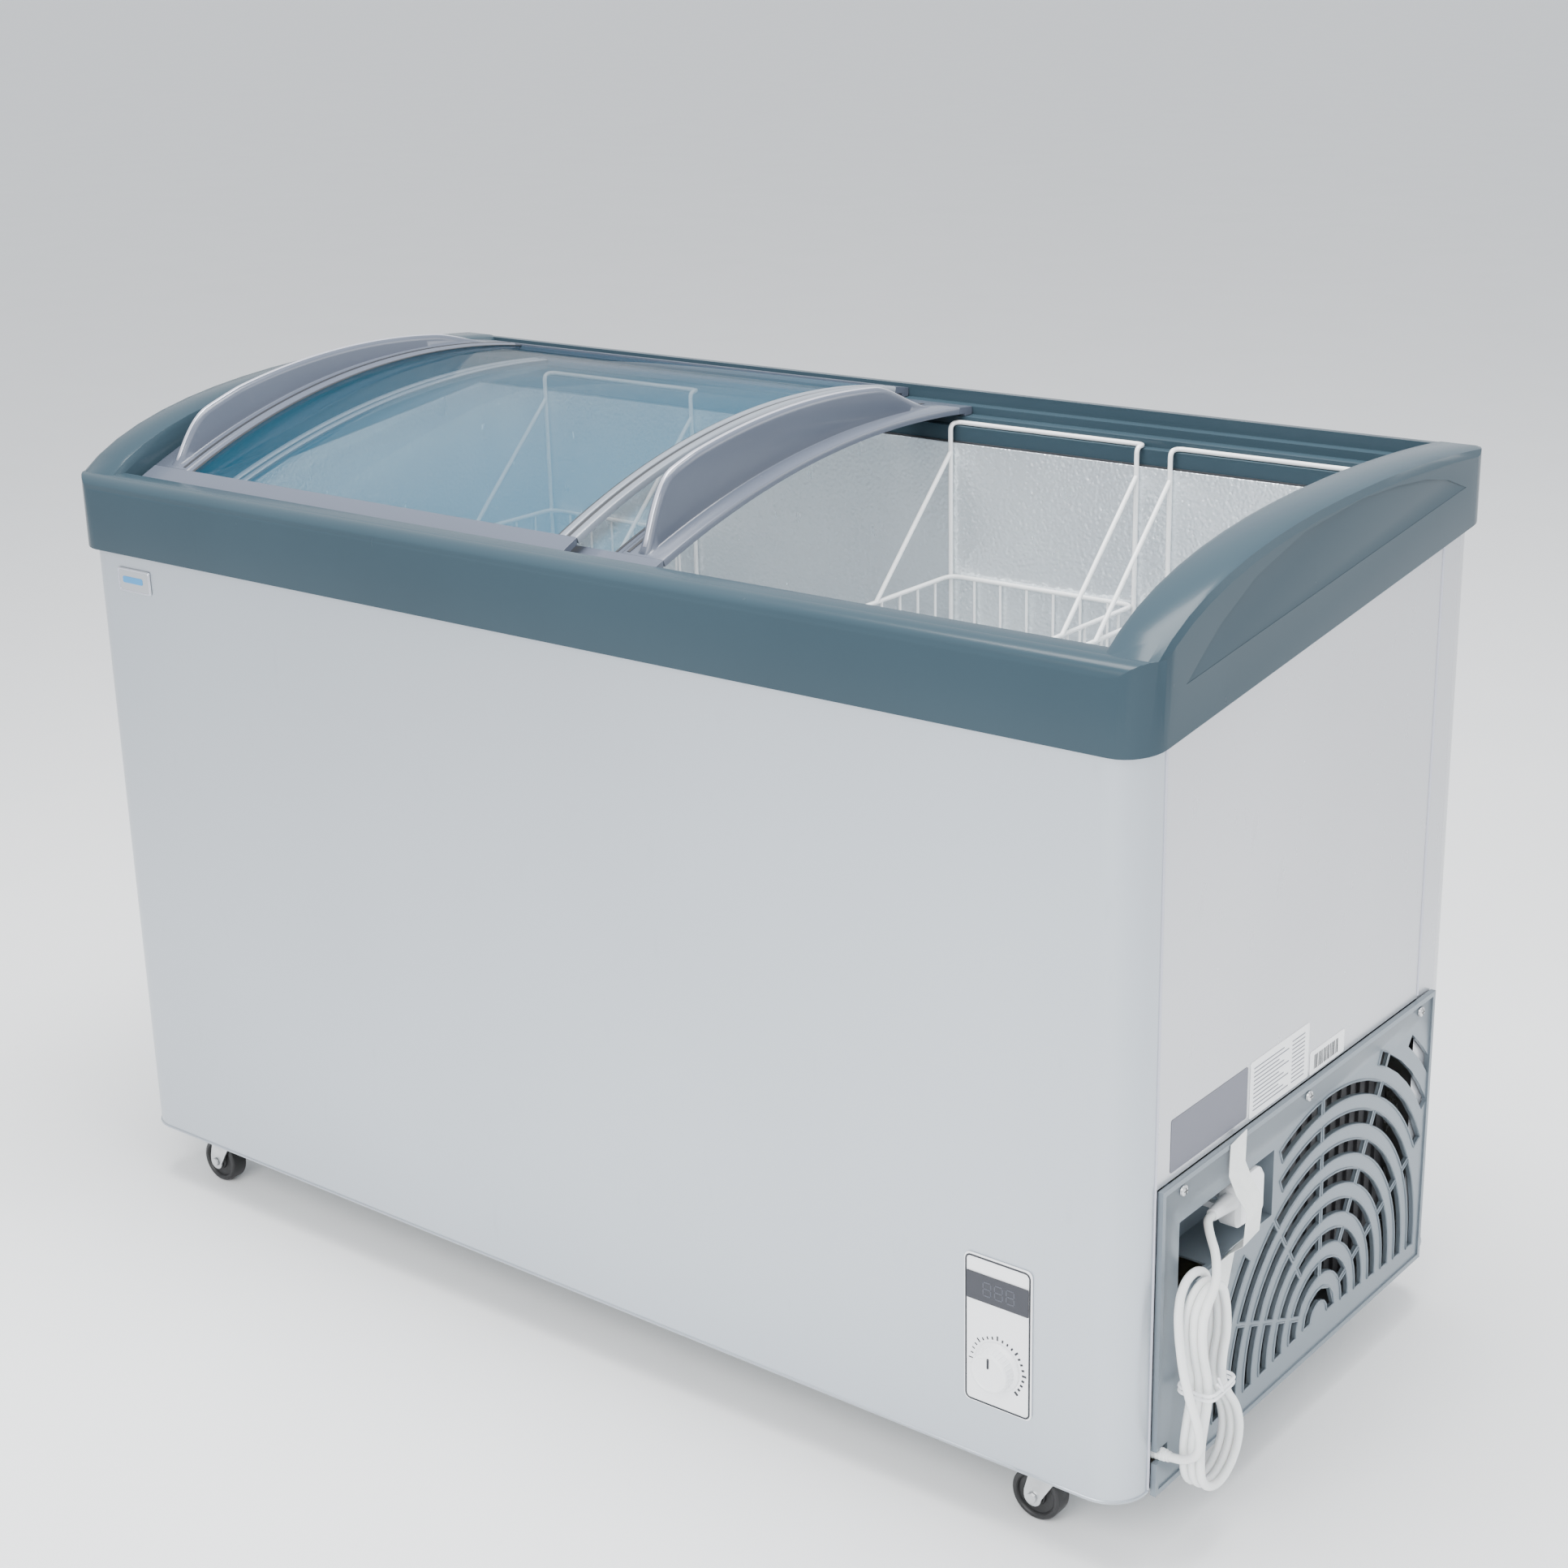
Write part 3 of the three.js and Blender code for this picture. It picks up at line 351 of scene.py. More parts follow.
def tube(path, radius, sides=8, closed=False):
    """A round wire along a path."""
    points = [Vector(p) for p in path]
    count = len(points)
    verts, faces = [], []
    normal = heading = None
    for i, point in enumerate(points):
        before = points[i - 1] if closed or i else point
        after = points[(i + 1) % count] if closed or i < count - 1 else point
        direction = (after - before).normalized()
        if normal is None:
            normal = direction.orthogonal().normalized()
        else:
            normal = (heading.rotation_difference(direction) @ normal).normalized()
        heading = direction
        side = direction.cross(normal)
        for k in range(sides):
            turn = 2 * math.pi * k / sides
            verts.append(point + radius * (math.cos(turn) * normal + math.sin(turn) * side))
    for i in range(count if closed else count - 1):
        a, b = i * sides, (i + 1) % count * sides
        for k in range(sides):
            n = (k + 1) % sides
            faces.append((a + k, a + n, b + n, b + k))
    if not closed:
        faces.append(tuple(reversed(range(sides))))
        faces.append(tuple(range((count - 1) * sides, count * sides)))
    return verts, faces


def rounded(path, radius, steps=4, closed=False):
    """The path with its corners turned into arcs of about that radius."""
    points = [Vector(p) for p in path]
    count = len(points)
    result = []
    for i, corner in enumerate(points):
        if not closed and i in (0, count - 1):
            result.append(corner)
            continue
        to_before = points[i - 1] - corner
        to_after = points[(i + 1) % count] - corner
        cut = min(radius, to_before.length / 2.01, to_after.length / 2.01)
        start = corner + to_before.normalized() * cut
        end = corner + to_after.normalized() * cut
        for k in range(steps + 1):
            t = k / steps
            result.append((1 - t) ** 2 * start + 2 * t * (1 - t) * corner + t * t * end)
    return result


def lathe(profile, segments=48):
    """A solid turned about Z from (radius, height) pairs."""
    verts, faces = [], []
    rings = len(profile)
    for k in range(segments):
        turn = 2 * math.pi * k / segments
        verts += [Vector((r * math.cos(turn), r * math.sin(turn), z)) for r, z in profile]
    for k in range(segments):
        a, b = k * rings, (k + 1) % segments * rings
        faces += [(a + i, b + i, b + i + 1, a + i + 1) for i in range(rings - 1)]
    return verts, faces


def prism(outline, low, high, axis="x"):
    """An outline run along an axis. It is drawn in (y, z) for x, (x, z) for y and (x, y) for z."""
    place = {
        "x": lambda u, v, w: Vector((w, u, v)),
        "y": lambda u, v, w: Vector((u, w, v)),
        "z": lambda u, v, w: Vector((u, v, w)),
    }[axis]
    count = len(outline)
    verts = [place(u, v, w) for w in (low, high) for u, v in outline]
    faces = [(i, (i + 1) % count, count + (i + 1) % count, count + i) for i in range(count)]
    faces += [tuple(reversed(range(count))), tuple(range(count, 2 * count))]
    return verts, faces


def block(x0, x1, y0, y1, z0, z1):
    """A small straight bar between two corners."""
    return prism([(y0, z0), (y1, z0), (y1, z1), (y0, z1)], x0, x1)


def rounded_rectangle(u0, u1, v0, v1, radius, steps=6):
    """The outline of a rectangle with round corners."""
    points = []
    for cu, cv, start in ((u1 - radius, v1 - radius, 0), (u0 + radius, v1 - radius, 90),
                          (u0 + radius, v0 + radius, 180), (u1 - radius, v0 + radius, 270)):
        for k in range(steps + 1):
            turn = math.radians(start + 90 * k / steps)
            points.append((cu + radius * math.cos(turn), cv + radius * math.sin(turn)))
    return points


def arc_height(arc, y):
    """Height of a lid's arc at a depth."""
    return arc["z"] + math.sqrt(arc["r"] ** 2 - (y - arc["y"]) ** 2)


def lid_sweep(section, arc, front, rear, steps=44):
    """A section swept along a lid's arc; section(y) gives its (x, height above the arc) pairs."""
    verts, faces = [], []
    first, last = (math.acos((y - arc["y"]) / arc["r"]) for y in (front, rear))
    count = len(section(front))
    for i in range(steps + 1):
        turn = first + (last - first) * i / steps
        y = arc["y"] + arc["r"] * math.cos(turn)
        for x, out in section(y):
            radius = arc["r"] + out
            verts.append(Vector((x, arc["y"] + radius * math.cos(turn), arc["z"] + radius * math.sin(turn))))
    for i in range(steps):
        a, b = i * count, (i + 1) * count
        faces += [(a + k, a + (k + 1) % count, b + (k + 1) % count, b + k) for k in range(count)]
    faces += [tuple(reversed(range(count))), tuple(range(steps * count, (steps + 1) * count))]
    return verts, faces


def moved(shape, offset=(0, 0, 0), turn=None):
    """The shape turned about its origin, then moved."""
    verts, faces = shape
    turned = [turn @ v for v in verts] if turn else verts
    return [v + Vector(offset) for v in turned], faces


def joined(*shapes):
    """Several shapes as one."""
    verts, faces = [], []
    for some_verts, some_faces in shapes:
        start = len(verts)
        verts += some_verts
        faces += [tuple(start + i for i in face) for face in some_faces]
    return verts, faces


def shade(mesh, angle=35):
    """Smooth shading with sharp edges kept."""
    mesh.shade_smooth()
    mesh.set_sharp_from_angle(angle=math.radians(angle))


def soften(obj, width, segments=2, angle=40):
    """Rounds an object's sharp edges; width is in millimetres."""
    bevel = obj.modifiers.new("edges", "BEVEL")
    bevel.width = width / 1000
    bevel.segments = segments
    bevel.limit_method = "ANGLE"
    bevel.angle_limit = math.radians(angle)
    bevel.harden_normals = True


def add(name, shape, material, body, replaces=(), edge=0, angle=35):
    """Makes a piece of the freezer that rides on a body."""
    verts, faces = shape
    mesh = bpy.data.meshes.new(name)
    mesh.from_pydata([at(*v) for v in verts], [], faces)
    tidy = bmesh.new()
    tidy.from_mesh(mesh)
    bmesh.ops.remove_doubles(tidy, verts=tidy.verts, dist=0.000002)
    bmesh.ops.dissolve_degenerate(tidy, edges=tidy.edges, dist=0.000002)
    bmesh.ops.recalc_face_normals(tidy, faces=tidy.faces)
    tidy.to_mesh(mesh)
    tidy.free()
    mesh.materials.append(material)
    shade(mesh, angle)
    obj = bpy.data.objects.new(name, mesh)
    bpy.context.scene.collection.objects.link(obj)
    if edge:
        soften(obj, edge)
    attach(obj, body)
    if replaces:
        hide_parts(*replaces)
    return obj


def refine(node, name, material, edge=0, angle=35):
    """A copy of a CAD node with its flat faces made whole, its edges rounded and smooth shading."""
    source = frame["nodes"][node]
    mesh = source.data.copy()
    mesh.name = name
    tidy = bmesh.new()
    tidy.from_mesh(mesh)
    bmesh.ops.remove_doubles(tidy, verts=tidy.verts, dist=0.000005)
    flat = math.radians(0.5)
    bmesh.ops.dissolve_limit(tidy, angle_limit=flat, verts=tidy.verts, edges=tidy.edges)
    tidy.to_mesh(mesh)
    tidy.free()
    mesh.materials.clear()
    mesh.materials.append(material)
    shade(mesh, angle)
    obj = bpy.data.objects.new(name, mesh)
    bpy.context.scene.collection.objects.link(obj)
    if edge:
        soften(obj, edge)
    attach(obj, source["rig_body"])
    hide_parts(node)
    return obj


# ---- mains lead -----------------------------------------------------------------------------

LEAD_START = [
    (664, -249, 34), (676, -249.5, 36.5), (687, -251, 43.5), (693.5, -253.5, 54), (695.5, -256, 67),
    (693, -258.5, 85), (687, -260, 105), (681, -260, 126), (677, -260, 148), (674, -259, 168),
    (672, -256, 184), (669, -246, 196), (668, -232, 203),
]
LEAD_END = [
    (687, -221, 202), (682, -212, 209), (675, -202.5, 215.5), (666, -193, 220.5), (658, -183.5, 224),
    (652, -174, 226), (650, -165.6, 226),
]
HANK_TOP = {"y": -222, "z": 170, "r": 24}
HANK_BOTTOM = {"y": -203, "z": 30, "r": 36}
HANK_TURNS = 3
HANK_X = 667.3  # the first turn; each turn lies one cord further out
HANK_PITCH = 8.1
WAIST_Z = 98  # height of the tie
WAIST_REACH = 56  # the turns draw together over this height above and below the tie


def hank_loop():
    """One turn of the hank as (y, z) points, down the rear side first, nipped in at its waist."""
    top, bottom = HANK_TOP, HANK_BOTTOM
    rear_tangent, front_tangent = math.radians(12.6), math.radians(182.9)
    points = []

    def arc(circle, start, end, steps):
        for k in range(steps):
            turn = start + (end - start) * k / steps
            points.append((circle["y"] + circle["r"] * math.cos(turn),
                           circle["z"] + circle["r"] * math.sin(turn)))

    def side(turn, start, end, nip, steps=7):
        first = [start[k] + start["r"] * f for k, f in (("y", math.cos(turn)), ("z", math.sin(turn)))]
        last = [end[k] + end["r"] * f for k, f in (("y", math.cos(turn)), ("z", math.sin(turn)))]
        for k in range(steps):
            t = k / steps
            y, z = (first[i] + (last[i] - first[i]) * t for i in (0, 1))
            pinch = math.cos(min(1, abs(z - WAIST_Z) / WAIST_REACH) * math.pi / 2) ** 2
            points.append((y + nip * pinch, z))

    side(rear_tangent, top, bottom, -19)
    arc(bottom, rear_tangent, front_tangent - 2 * math.pi, 10)
    side(front_tangent, bottom, top, 11)
    arc(top, front_tangent, rear_tangent, 8)
    return points


def lead_route():
    """The lead's knots: from the gland up into the hank, round its turns and up to the plug."""
    loop = hank_loop()
    route = list(LEAD_START)
    route += [(667.6, -214, 200), (667.4, -203, 190.5)]
    short = 6  # knots left off the last turn, where the lead leaves for the plug
    for i in range(HANK_TURNS * len(loop) - short):
        y, z = loop[i % len(loop)]
        route.append((HANK_X + HANK_PITCH * i / len(loop), y, z))
    return route + LEAD_END


def make_lead(look):
    """The mains lead as a cord, with its plug, its strain relief and the tie round the hank."""
    curve = bpy.data.curves.new("mains_lead", "CURVE")
    curve.dimensions = "3D"
    curve.bevel_depth = CORD_DIAMETER / 2000
    curve.bevel_resolution = 4
    curve.resolution_u = 5
    curve.use_fill_caps = True
    route = lead_route()
    spline = curve.splines.new("BEZIER")
    spline.bezier_points.add(len(route) - 1)
    for knot, place in zip(spline.bezier_points, route):
        knot.co = at(*place)
        knot.handle_left_type = knot.handle_right_type = "AUTO"
    curve.materials.append(look["cord"])
    cord = bpy.data.objects.new("mains_lead", curve)
    bpy.context.scene.collection.objects.link(cord)
    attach(cord, "cabinet")
    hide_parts("cord_from_gland", "cord_hank", "cord_to_plug")

    plug = refine("power_plug", "mains_plug", look["white_plastic"], edge=0.8)
    rings = [(0, 0), (7, 0), (7, 2)]
    for k in range(4):  # four ribs, each a little smaller than the last
        start = 4 + 3.6 * k
        radius = 6.2 - 0.25 * k
        rings += [(radius, start - 1.2), (radius, start + 0.8), (radius - 0.8, start + 1.2),
                  (radius - 0.8, start + 2)]
    rings += [(4.9, 18.6), (4.6, 19.7), (0, 19.7)]
    to_side = Matrix.Rotation(math.pi / 2, 3, "Y")
    relief = add("lead_strain_relief", moved(lathe(rings, 32), (644, -249, 34), to_side), look["cord"],
                 "cabinet", ["cord_gland"])
    bands = []
    for z in (WAIST_Z - 4, WAIST_Z + 0.5):
        band = [(662, -240, z), (697, -240, z + 1), (697, -196, z + 2), (662, -196, z + 1)]
        bands.append(tube(rounded(band, 9, 5, closed=True), 1.5, 8, closed=True))
    for reach, lift in ((9, 7), (7, 12)):
        tail = [(697, -222, 97), (699, -224, 101), (698, -224 - reach, 103 + lift)]
        bands.append(tube(rounded(tail, 3, 4), 1.1, 8))
    tie = add("hank_tie", joined(*bands), look["white_plastic"], "cabinet")


# ---- cabinet ---------------------------------------------------------------------------------


def body_outline(z, front):
    """The path round the body's skins at one height, from one side seam to the other."""
    sign = -1 if front else 1
    seam = SEAM_FRONT_Y if front else SEAM_REAR_Y
    points = [(BODY_X, seam, z)]
    for side in (1, -1):
        for k in range(9):
            turn = math.radians(90 * (k / 8 if side > 0 else 1 - k / 8))
            points.append((side * (BODY_X - BODY_RADIUS + BODY_RADIUS * math.cos(turn)),
                           sign * (BODY_Y - BODY_RADIUS + BODY_RADIUS * math.sin(turn)), z))
    points.append((-BODY_X, seam, z))
    return points


def make_cabinet(look):
    """The skins, the tub, the foam, the top frame and their trimmings."""
    refine("front_wrap_panel", "front_skin", look["steel"])
    refine("left_side_panel", "left_skin", look["side_steel"])
    refine("right_side_panel", "right_skin", look["side_steel"], edge=0.3)
    refine("rear_panel", "rear_skin", look["side_steel"])
    refine("base_pan", "underside_sheet", look["galvanised"], edge=0.3)
    refine("insulation_foam", "foam_core", look["foam"])
    refine("inner_liner", "tub_liner", look["liner"], edge=0.6)
    refine("top_frame", "top_moulding", look["teal"], edge=1.6, angle=30)
    hem = 1.5  # radius of the folded lower edge
    hems = [tube(body_outline(hem, front), hem, 8) for front in (True, False)]
    add("lower_hems", joined(*hems), look["steel"], "cabinet")
    beads = []
    for side in (1, -1):
        for y in (SEAM_FRONT_Y, SEAM_REAR_Y):
            low = GRILLE_TOP + 4 if side > 0 and y > 0 else 3
            x = side * (BODY_X - 0.4)
            beads.append(tube([(x, y, low), (x, y, underside(y) - 6)], 1.7, 10))
    add("side_seam_beads", joined(*beads), look["bright"], "cabinet")
    seal = block(-TUB_X, TUB_X, TUB_Y + 1.3, TUB_Y + 4.3, 772.4, 774.6)
    add("tub_edge_seal", seal, look["rubber"], "cabinet")


def make_labels(look):
    """Blank labels on the right side, without wording, and the tape over the plug."""
    face = BODY_X + 0.1
    low, high = face + 0.3, face + 0.5  # the printed rules and bars
    for name, y0, y1, z0, z1, paint in (
        ("rating_label_blank", -104, 4, 293, 347, "paper"),
        ("stock_label_blank", 8, 75, 292, 315, "paper"),
        ("notice_label_blank", -239, -109, 297, 346, "foil"),
    ):
        shape = prism(rounded_rectangle(y0, y1, z0, z1, 2), face, face + 0.35)
        add(name, shape, look[paint], "cabinet")
    rows = []
    for k, z in enumerate(range(299, 343, 4)):
        rows.append(block(low, high, -98, -34 - 9 * (k % 3), z, z + 1.1))
        rows.append(block(low, high, -28, -4, z, z + 1.1))
    add("rating_label_rules", joined(*rows), look["foil"], "cabinet")
    bars = []
    place = 16
    for k in range(17):
        width = (1.0, 2.2, 1.4)[k % 3]
        bars.append(block(low, high, place, place + width, 296, 310))
        place += width + (1.2, 0.9, 1.8, 1.1)[k % 4]
    add("stock_label_bars", joined(*bars), look["print"], "cabinet")
    add("plug_tape", tape(), look["tape"], "cabinet", angle=60)


def tape():
    """A strip of tape that runs down the grille and over the plug."""
    path = [(656.4, -133, 290), (658, -137, 262), (667, -140, 248), (679.4, -143, 236), (679.8, -148, 206),
            (668, -150, 196), (659.6, -152, 186), (657.6, -163, 140)]
    half, thickness, slant = 14, 0.5, 2
    verts, faces = [], []
    for x, y, z in path:
        for out in (0, thickness):
            verts += [Vector((x + out, y - half, z - slant)), Vector((x + out, y + half, z + slant))]
    for k in range(len(path) - 1):
        a, b = 4 * k, 4 * k + 4
        faces += [(a, a + 1, b + 1, b), (a + 2, b + 2, b + 3, a + 3), (a, b, b + 2, a + 2),
                  (a + 1, a + 3, b + 3, b + 1)]
    end = 4 * len(path) - 4
    faces += [(0, 2, 3, 1), (end, end + 1, end + 3, end + 2)]
    return verts, faces


# ---- lids --------------------------------------------------------------------------------------

# Strips reach from one y to another; feet are (front y, rear y, underside z).
LIDS = [
    {"name": "left_lid", "edge": -600, "direction": 1, "arc": UPPER_ARC,
     "front": (-272, -238), "rear": (264, 287), "front_foot": (-271, -259, 733.5),
     "rear_foot": (275.5, 286.5, 806.5)},
    {"name": "right_lid", "edge": 100, "direction": -1, "arc": LOWER_ARC,
     "front": (-256, -223), "rear": (250, 272), "front_foot": (-255.5, -244.5, 722.5),
     "rear_foot": (259.5, 271.5, 798.5)},
]


def ease(value):
    """A smooth step from 0 to 1."""
    t = max(0.0, min(1.0, value))
    return t * t * (3 - 2 * t)


def fin_height(arc, y, front, rear):
    """How far a fin stands above its lid's arc."""
    rise = ease((y - front) / FIN_RISE) ** 0.6
    fall = ease((rear - y) / FIN_FALL)
    highest = -130
    fade = 1 - 0.85 * (y - highest) / (rear - highest)
    above = FIN_HEIGHT * min(fade, 1)
    return (arc_height(UPPER_ARC, y) - arc_height(arc, y) + above) * rise * fall


def make_lid(lid, look):
    """One lid: the moulding with the fin, the trim, the pane, their seals and the two rails."""
    name, arc = lid["name"], lid["arc"]
    front, rear = lid["front"][1] + 0.3, lid["rear"][0] - 0.3

    def across(inset):
        return lid["edge"] + lid["direction"] * inset

    def strip(points, y0=front, y1=rear, steps=44):
        section = [(across(x), out) for x, out in points]
        return lid_sweep(lambda y: section, arc, y0, y1, steps)

    fin_middle = (FIN_FROM + FIN_TO) / 2
    fin_half = (FIN_TO - FIN_FROM) / 2
    flange = [(0, -6), (0, 0.1), (0.9, 1), (LID_BORDER - 9, 1), (LID_BORDER - 7, 0.2),
              (LID_BORDER - 6.2, -0.6), (LID_BORDER, -0.8), (LID_BORDER, -6)]

    def fin_section(y):
        height = max(fin_height(arc, y, front + 2, rear - 2), 0.4)
        crown = min(fin_half, height * 0.7)
        points = [(FIN_FROM - 3, 0.2), (FIN_FROM - 0.8, min(1.6, height * 0.3))]
        for k in range(9):
            turn = math.pi * (1 - k / 8)
            points.append((fin_middle + fin_half * math.cos(turn), height - crown + crown * math.sin(turn)))
        points += [(FIN_TO + 0.8, min(1.6, height * 0.3)), (FIN_TO + 3, 0.2)]
        return [(across(x), out) for x, out in points]

    # a thin lighter strip along the fin's top: a painted highlight, not a separate part
    def fin_highlight_section(y):
        height = max(fin_height(arc, y, front + 2, rear - 2), 0.6)
        lift = min(1.2, height * 0.2)
        turns = [math.pi * k / 6 for k in range(7)]
        points = [(fin_middle - 2.4 * math.cos(t), height - 0.8 + lift * math.sin(t)) for t in turns]
        return [(across(x), out) for x, out in points]

    add(f"{name}_handle_frame_moulding",
        joined(strip(flange), lid_sweep(fin_section, arc, front + 2, rear - 2, 72)),
        look["lilac"], name, [f"{name}_handle_frame"], angle=50)
    # the fin's top painted lighter as a highlight
    add(f"{name}_fin_painted_highlight", lid_sweep(fin_highlight_section, arc, front + 8, rear - 8, 72), look["bright"],
        name, angle=60)

    trim = LID_WIDTH - LID_TRIM
    add(f"{name}_trim_moulding", joined(
        strip([(trim, -6), (trim, 0.3), (trim + 0.7, 1), (trim + 7.3, 1), (trim + 8, 0.3), (trim + 8, -1.5),
               (trim + 13, -1.5), (trim + 13, 0.3), (trim + 13.7, 1), (trim + 21, 1), (trim + 22, 0),
               (trim + 22, -6)])), look["pale"], name, [f"{name}_trim"], angle=50)
    add(f"{name}_trim_groove_seal",
        strip([(trim + 8.1, -1.4), (trim + 8.1, -0.2), (trim + 12.9, -0.2), (trim + 12.9, -1.4)]),
        look["rubber"], name)
    add(f"{name}_flange_seal",
        strip([(LID_BORDER - 15, 0.6), (LID_BORDER - 15, 1.5), (LID_BORDER - 11.5, 1.5),
               (LID_BORDER - 11.5, 0.6)], front + 3, rear - 3), look["rubber"], name)
    add(f"{name}_pane",
        strip([(LID_BORDER + 0.3, -5), (LID_BORDER + 0.3, -1.3), (LID_BORDER + 0.8, -1), (trim - 0.8, -1),
               (trim - 0.3, -1.3), (trim - 0.3, -5)], steps=72), look["glass"], name,
        [f"{name}_glass"], angle=40)
    gasket = [strip([(LID_BORDER, -1), (LID_BORDER, -0.3), (LID_BORDER + 3.4, -0.6), (LID_BORDER + 3.4, -1)]),
              strip([(trim, -1), (trim, -0.3), (trim - 3.4, -0.6), (trim - 3.4, -1)])]
    add(f"{name}_pane_gasket", joined(*gasket), look["rubber"], name)

    low, high = sorted((across(0), across(LID_WIDTH)))
    for end in ("front", "rear"):
        y0, y1 = lid[end]
        foot_front, foot_rear, foot_bottom = lid[f"{end}_foot"]
        section = []
        for k in range(9):
            y = y0 + (y1 - y0) * k / 8
            section.append((y, arc_height(arc, y) + 1))
        section += [(y1, arc_height(arc, y1) - 6), (foot_rear, arc_height(arc, foot_rear) - 6)]
        section += [(foot_rear, foot_bottom), (foot_front, foot_bottom)]
        section += [(foot_front, arc_height(arc, foot_front) - 6), (y0, arc_height(arc, y0) - 6)]
        add(f"{name}_{end}_rail", prism(section, low, high), look["lilac"], name,
            [f"{name}_{end}_strip"], edge=1.0)


# ---- baskets ------------------------------------------------------------------------------------


def basket_wires(x):
    """A basket's rim, its rings, the wires of its walls and floor, and two braced hangers."""
    half = BASKET_WIDTH / 2
    front, rear = BASKET_FRONT_Y - RIM_WIRE, BASKET_REAR_Y + RIM_WIRE

    def ring(z, inset, wire, sides):
        corners = [(x - half + inset, front + inset, z), (x + half - inset, front + inset, z),
                   (x + half - inset, rear - inset, z), (x - half + inset, rear - inset, z)]
        return tube(rounded(corners, 14, 5, closed=True), wire, sides, closed=True)

    wires = [ring(RIM_Z, RIM_WIRE, RIM_WIRE, 10)]
    for z in (BASKET_FLOOR_Z + 3, 462, 546):
        wires.append(ring(z, RIM_WIRE + THIN_WIRE + 0.6, THIN_WIRE + 0.4, 8))

    low = BASKET_FLOOR_Z + THIN_WIRE
    bend = 9
    lengthwise, crosswise = 6, 14  # how many wires run each way under the floor
    for k in range(1, lengthwise + 1):
        at_x = x - half + 2 * half * k / (lengthwise + 1)
        y0, y1 = front + RIM_WIRE, rear - RIM_WIRE
        path = [(at_x, y0, RIM_Z), (at_x, y0, low), (at_x, y1, low), (at_x, y1, RIM_Z)]
        wires.append(tube(rounded(path, bend, 4), THIN_WIRE, 8))
    for k in range(1, crosswise + 1):
        y = front + (rear - front) * k / (crosswise + 1)
        x0, x1 = x - half + RIM_WIRE, x + half - RIM_WIRE
        path = [(x0, y, RIM_Z), (x0, y, low + 3), (x1, y, low + 3), (x1, y, RIM_Z)]
        wires.append(tube(rounded(path, bend, 4), THIN_WIRE, 8))

    inner = half - RIM_WIRE
    foot = BASKET_FLOOR_Z + 12
    # where each hanger stands and hooks, how far along the rim its brace lands, and how high it starts
    for y, hook, ledge, reach, share in (
        (BASKET_REAR_Y, 252, LEDGE_TOP["rear"], -133, 0.82),
        (BASKET_FRONT_Y, -237, LEDGE_TOP["front"], 60, 0.75),
    ):
        top = ledge + RIM_WIRE + 0.3
        hanger = [(x - inner, y, foot), (x - inner, y, top), (x - inner, hook, top),
                  (x + inner, hook, top), (x + inner, y, top), (x + inner, y, foot)]
        wires.append(tube(rounded(hanger, 7, 5), RIM_WIRE, 10))
        brace_top = RIM_Z + (top - RIM_Z) * share
        for side in (-inner, inner):
            wires.append(tube([(x + side, y, brace_top), (x + side, y + reach, RIM_Z)], RIM_WIRE, 10))
    return joined(*wires)


def make_baskets(look):
    for side, x in BASKETS.items():
        add(f"{side}_wire_basket", basket_wires(x), look["white_wire"], f"{side}_basket",
            [f"basket_{side}"], angle=50)


# ---- machine compartment -------------------------------------------------------------------------


def slot_loops():
    """The outline of every grille slot, as (y, z) points just outside the hole."""
    whole = (-4, 184)  # degrees; the outer rings have only the stretches that fit in the grille
    stretches = {9: [(38, 53)], 8: [(33, 66)], 7: [(27, 114), (146, 184)], 6: [(-4, 117), (138, 184)]}
    reach = SLOT_WIDTH / 2 + 1
    for ring in range(10):
        radius = SLOT_RADIUS + SLOT_PITCH * ring
        bridge = math.degrees(BRIDGE_WIDTH / 2 / radius)
        crossing = [a for i, a in enumerate(BRIDGE_ANGLES) if ring > 1 or (ring == 1 and i % 2 == 1)]
        for low, high in stretches.get(ring, [whole]):
            stops = [low, *(a for a in crossing if low + 4 < a < high - 4), high]
            for start, end in zip(stops, stops[1:]):
                start, end = start + bridge, end - bridge
                steps = max(3, int((end - start) * radius / 600))
                turns = [math.radians(start + (end - start) * k / steps) for k in range(steps + 1)]
                loop = [(radius + reach, t) for t in turns] + [(radius - reach, t) for t in reversed(turns)]
                yield [(SLOT_CENTRE[0] + r * math.cos(t), SLOT_CENTRE[1] + r * math.sin(t)) for r, t in loop]


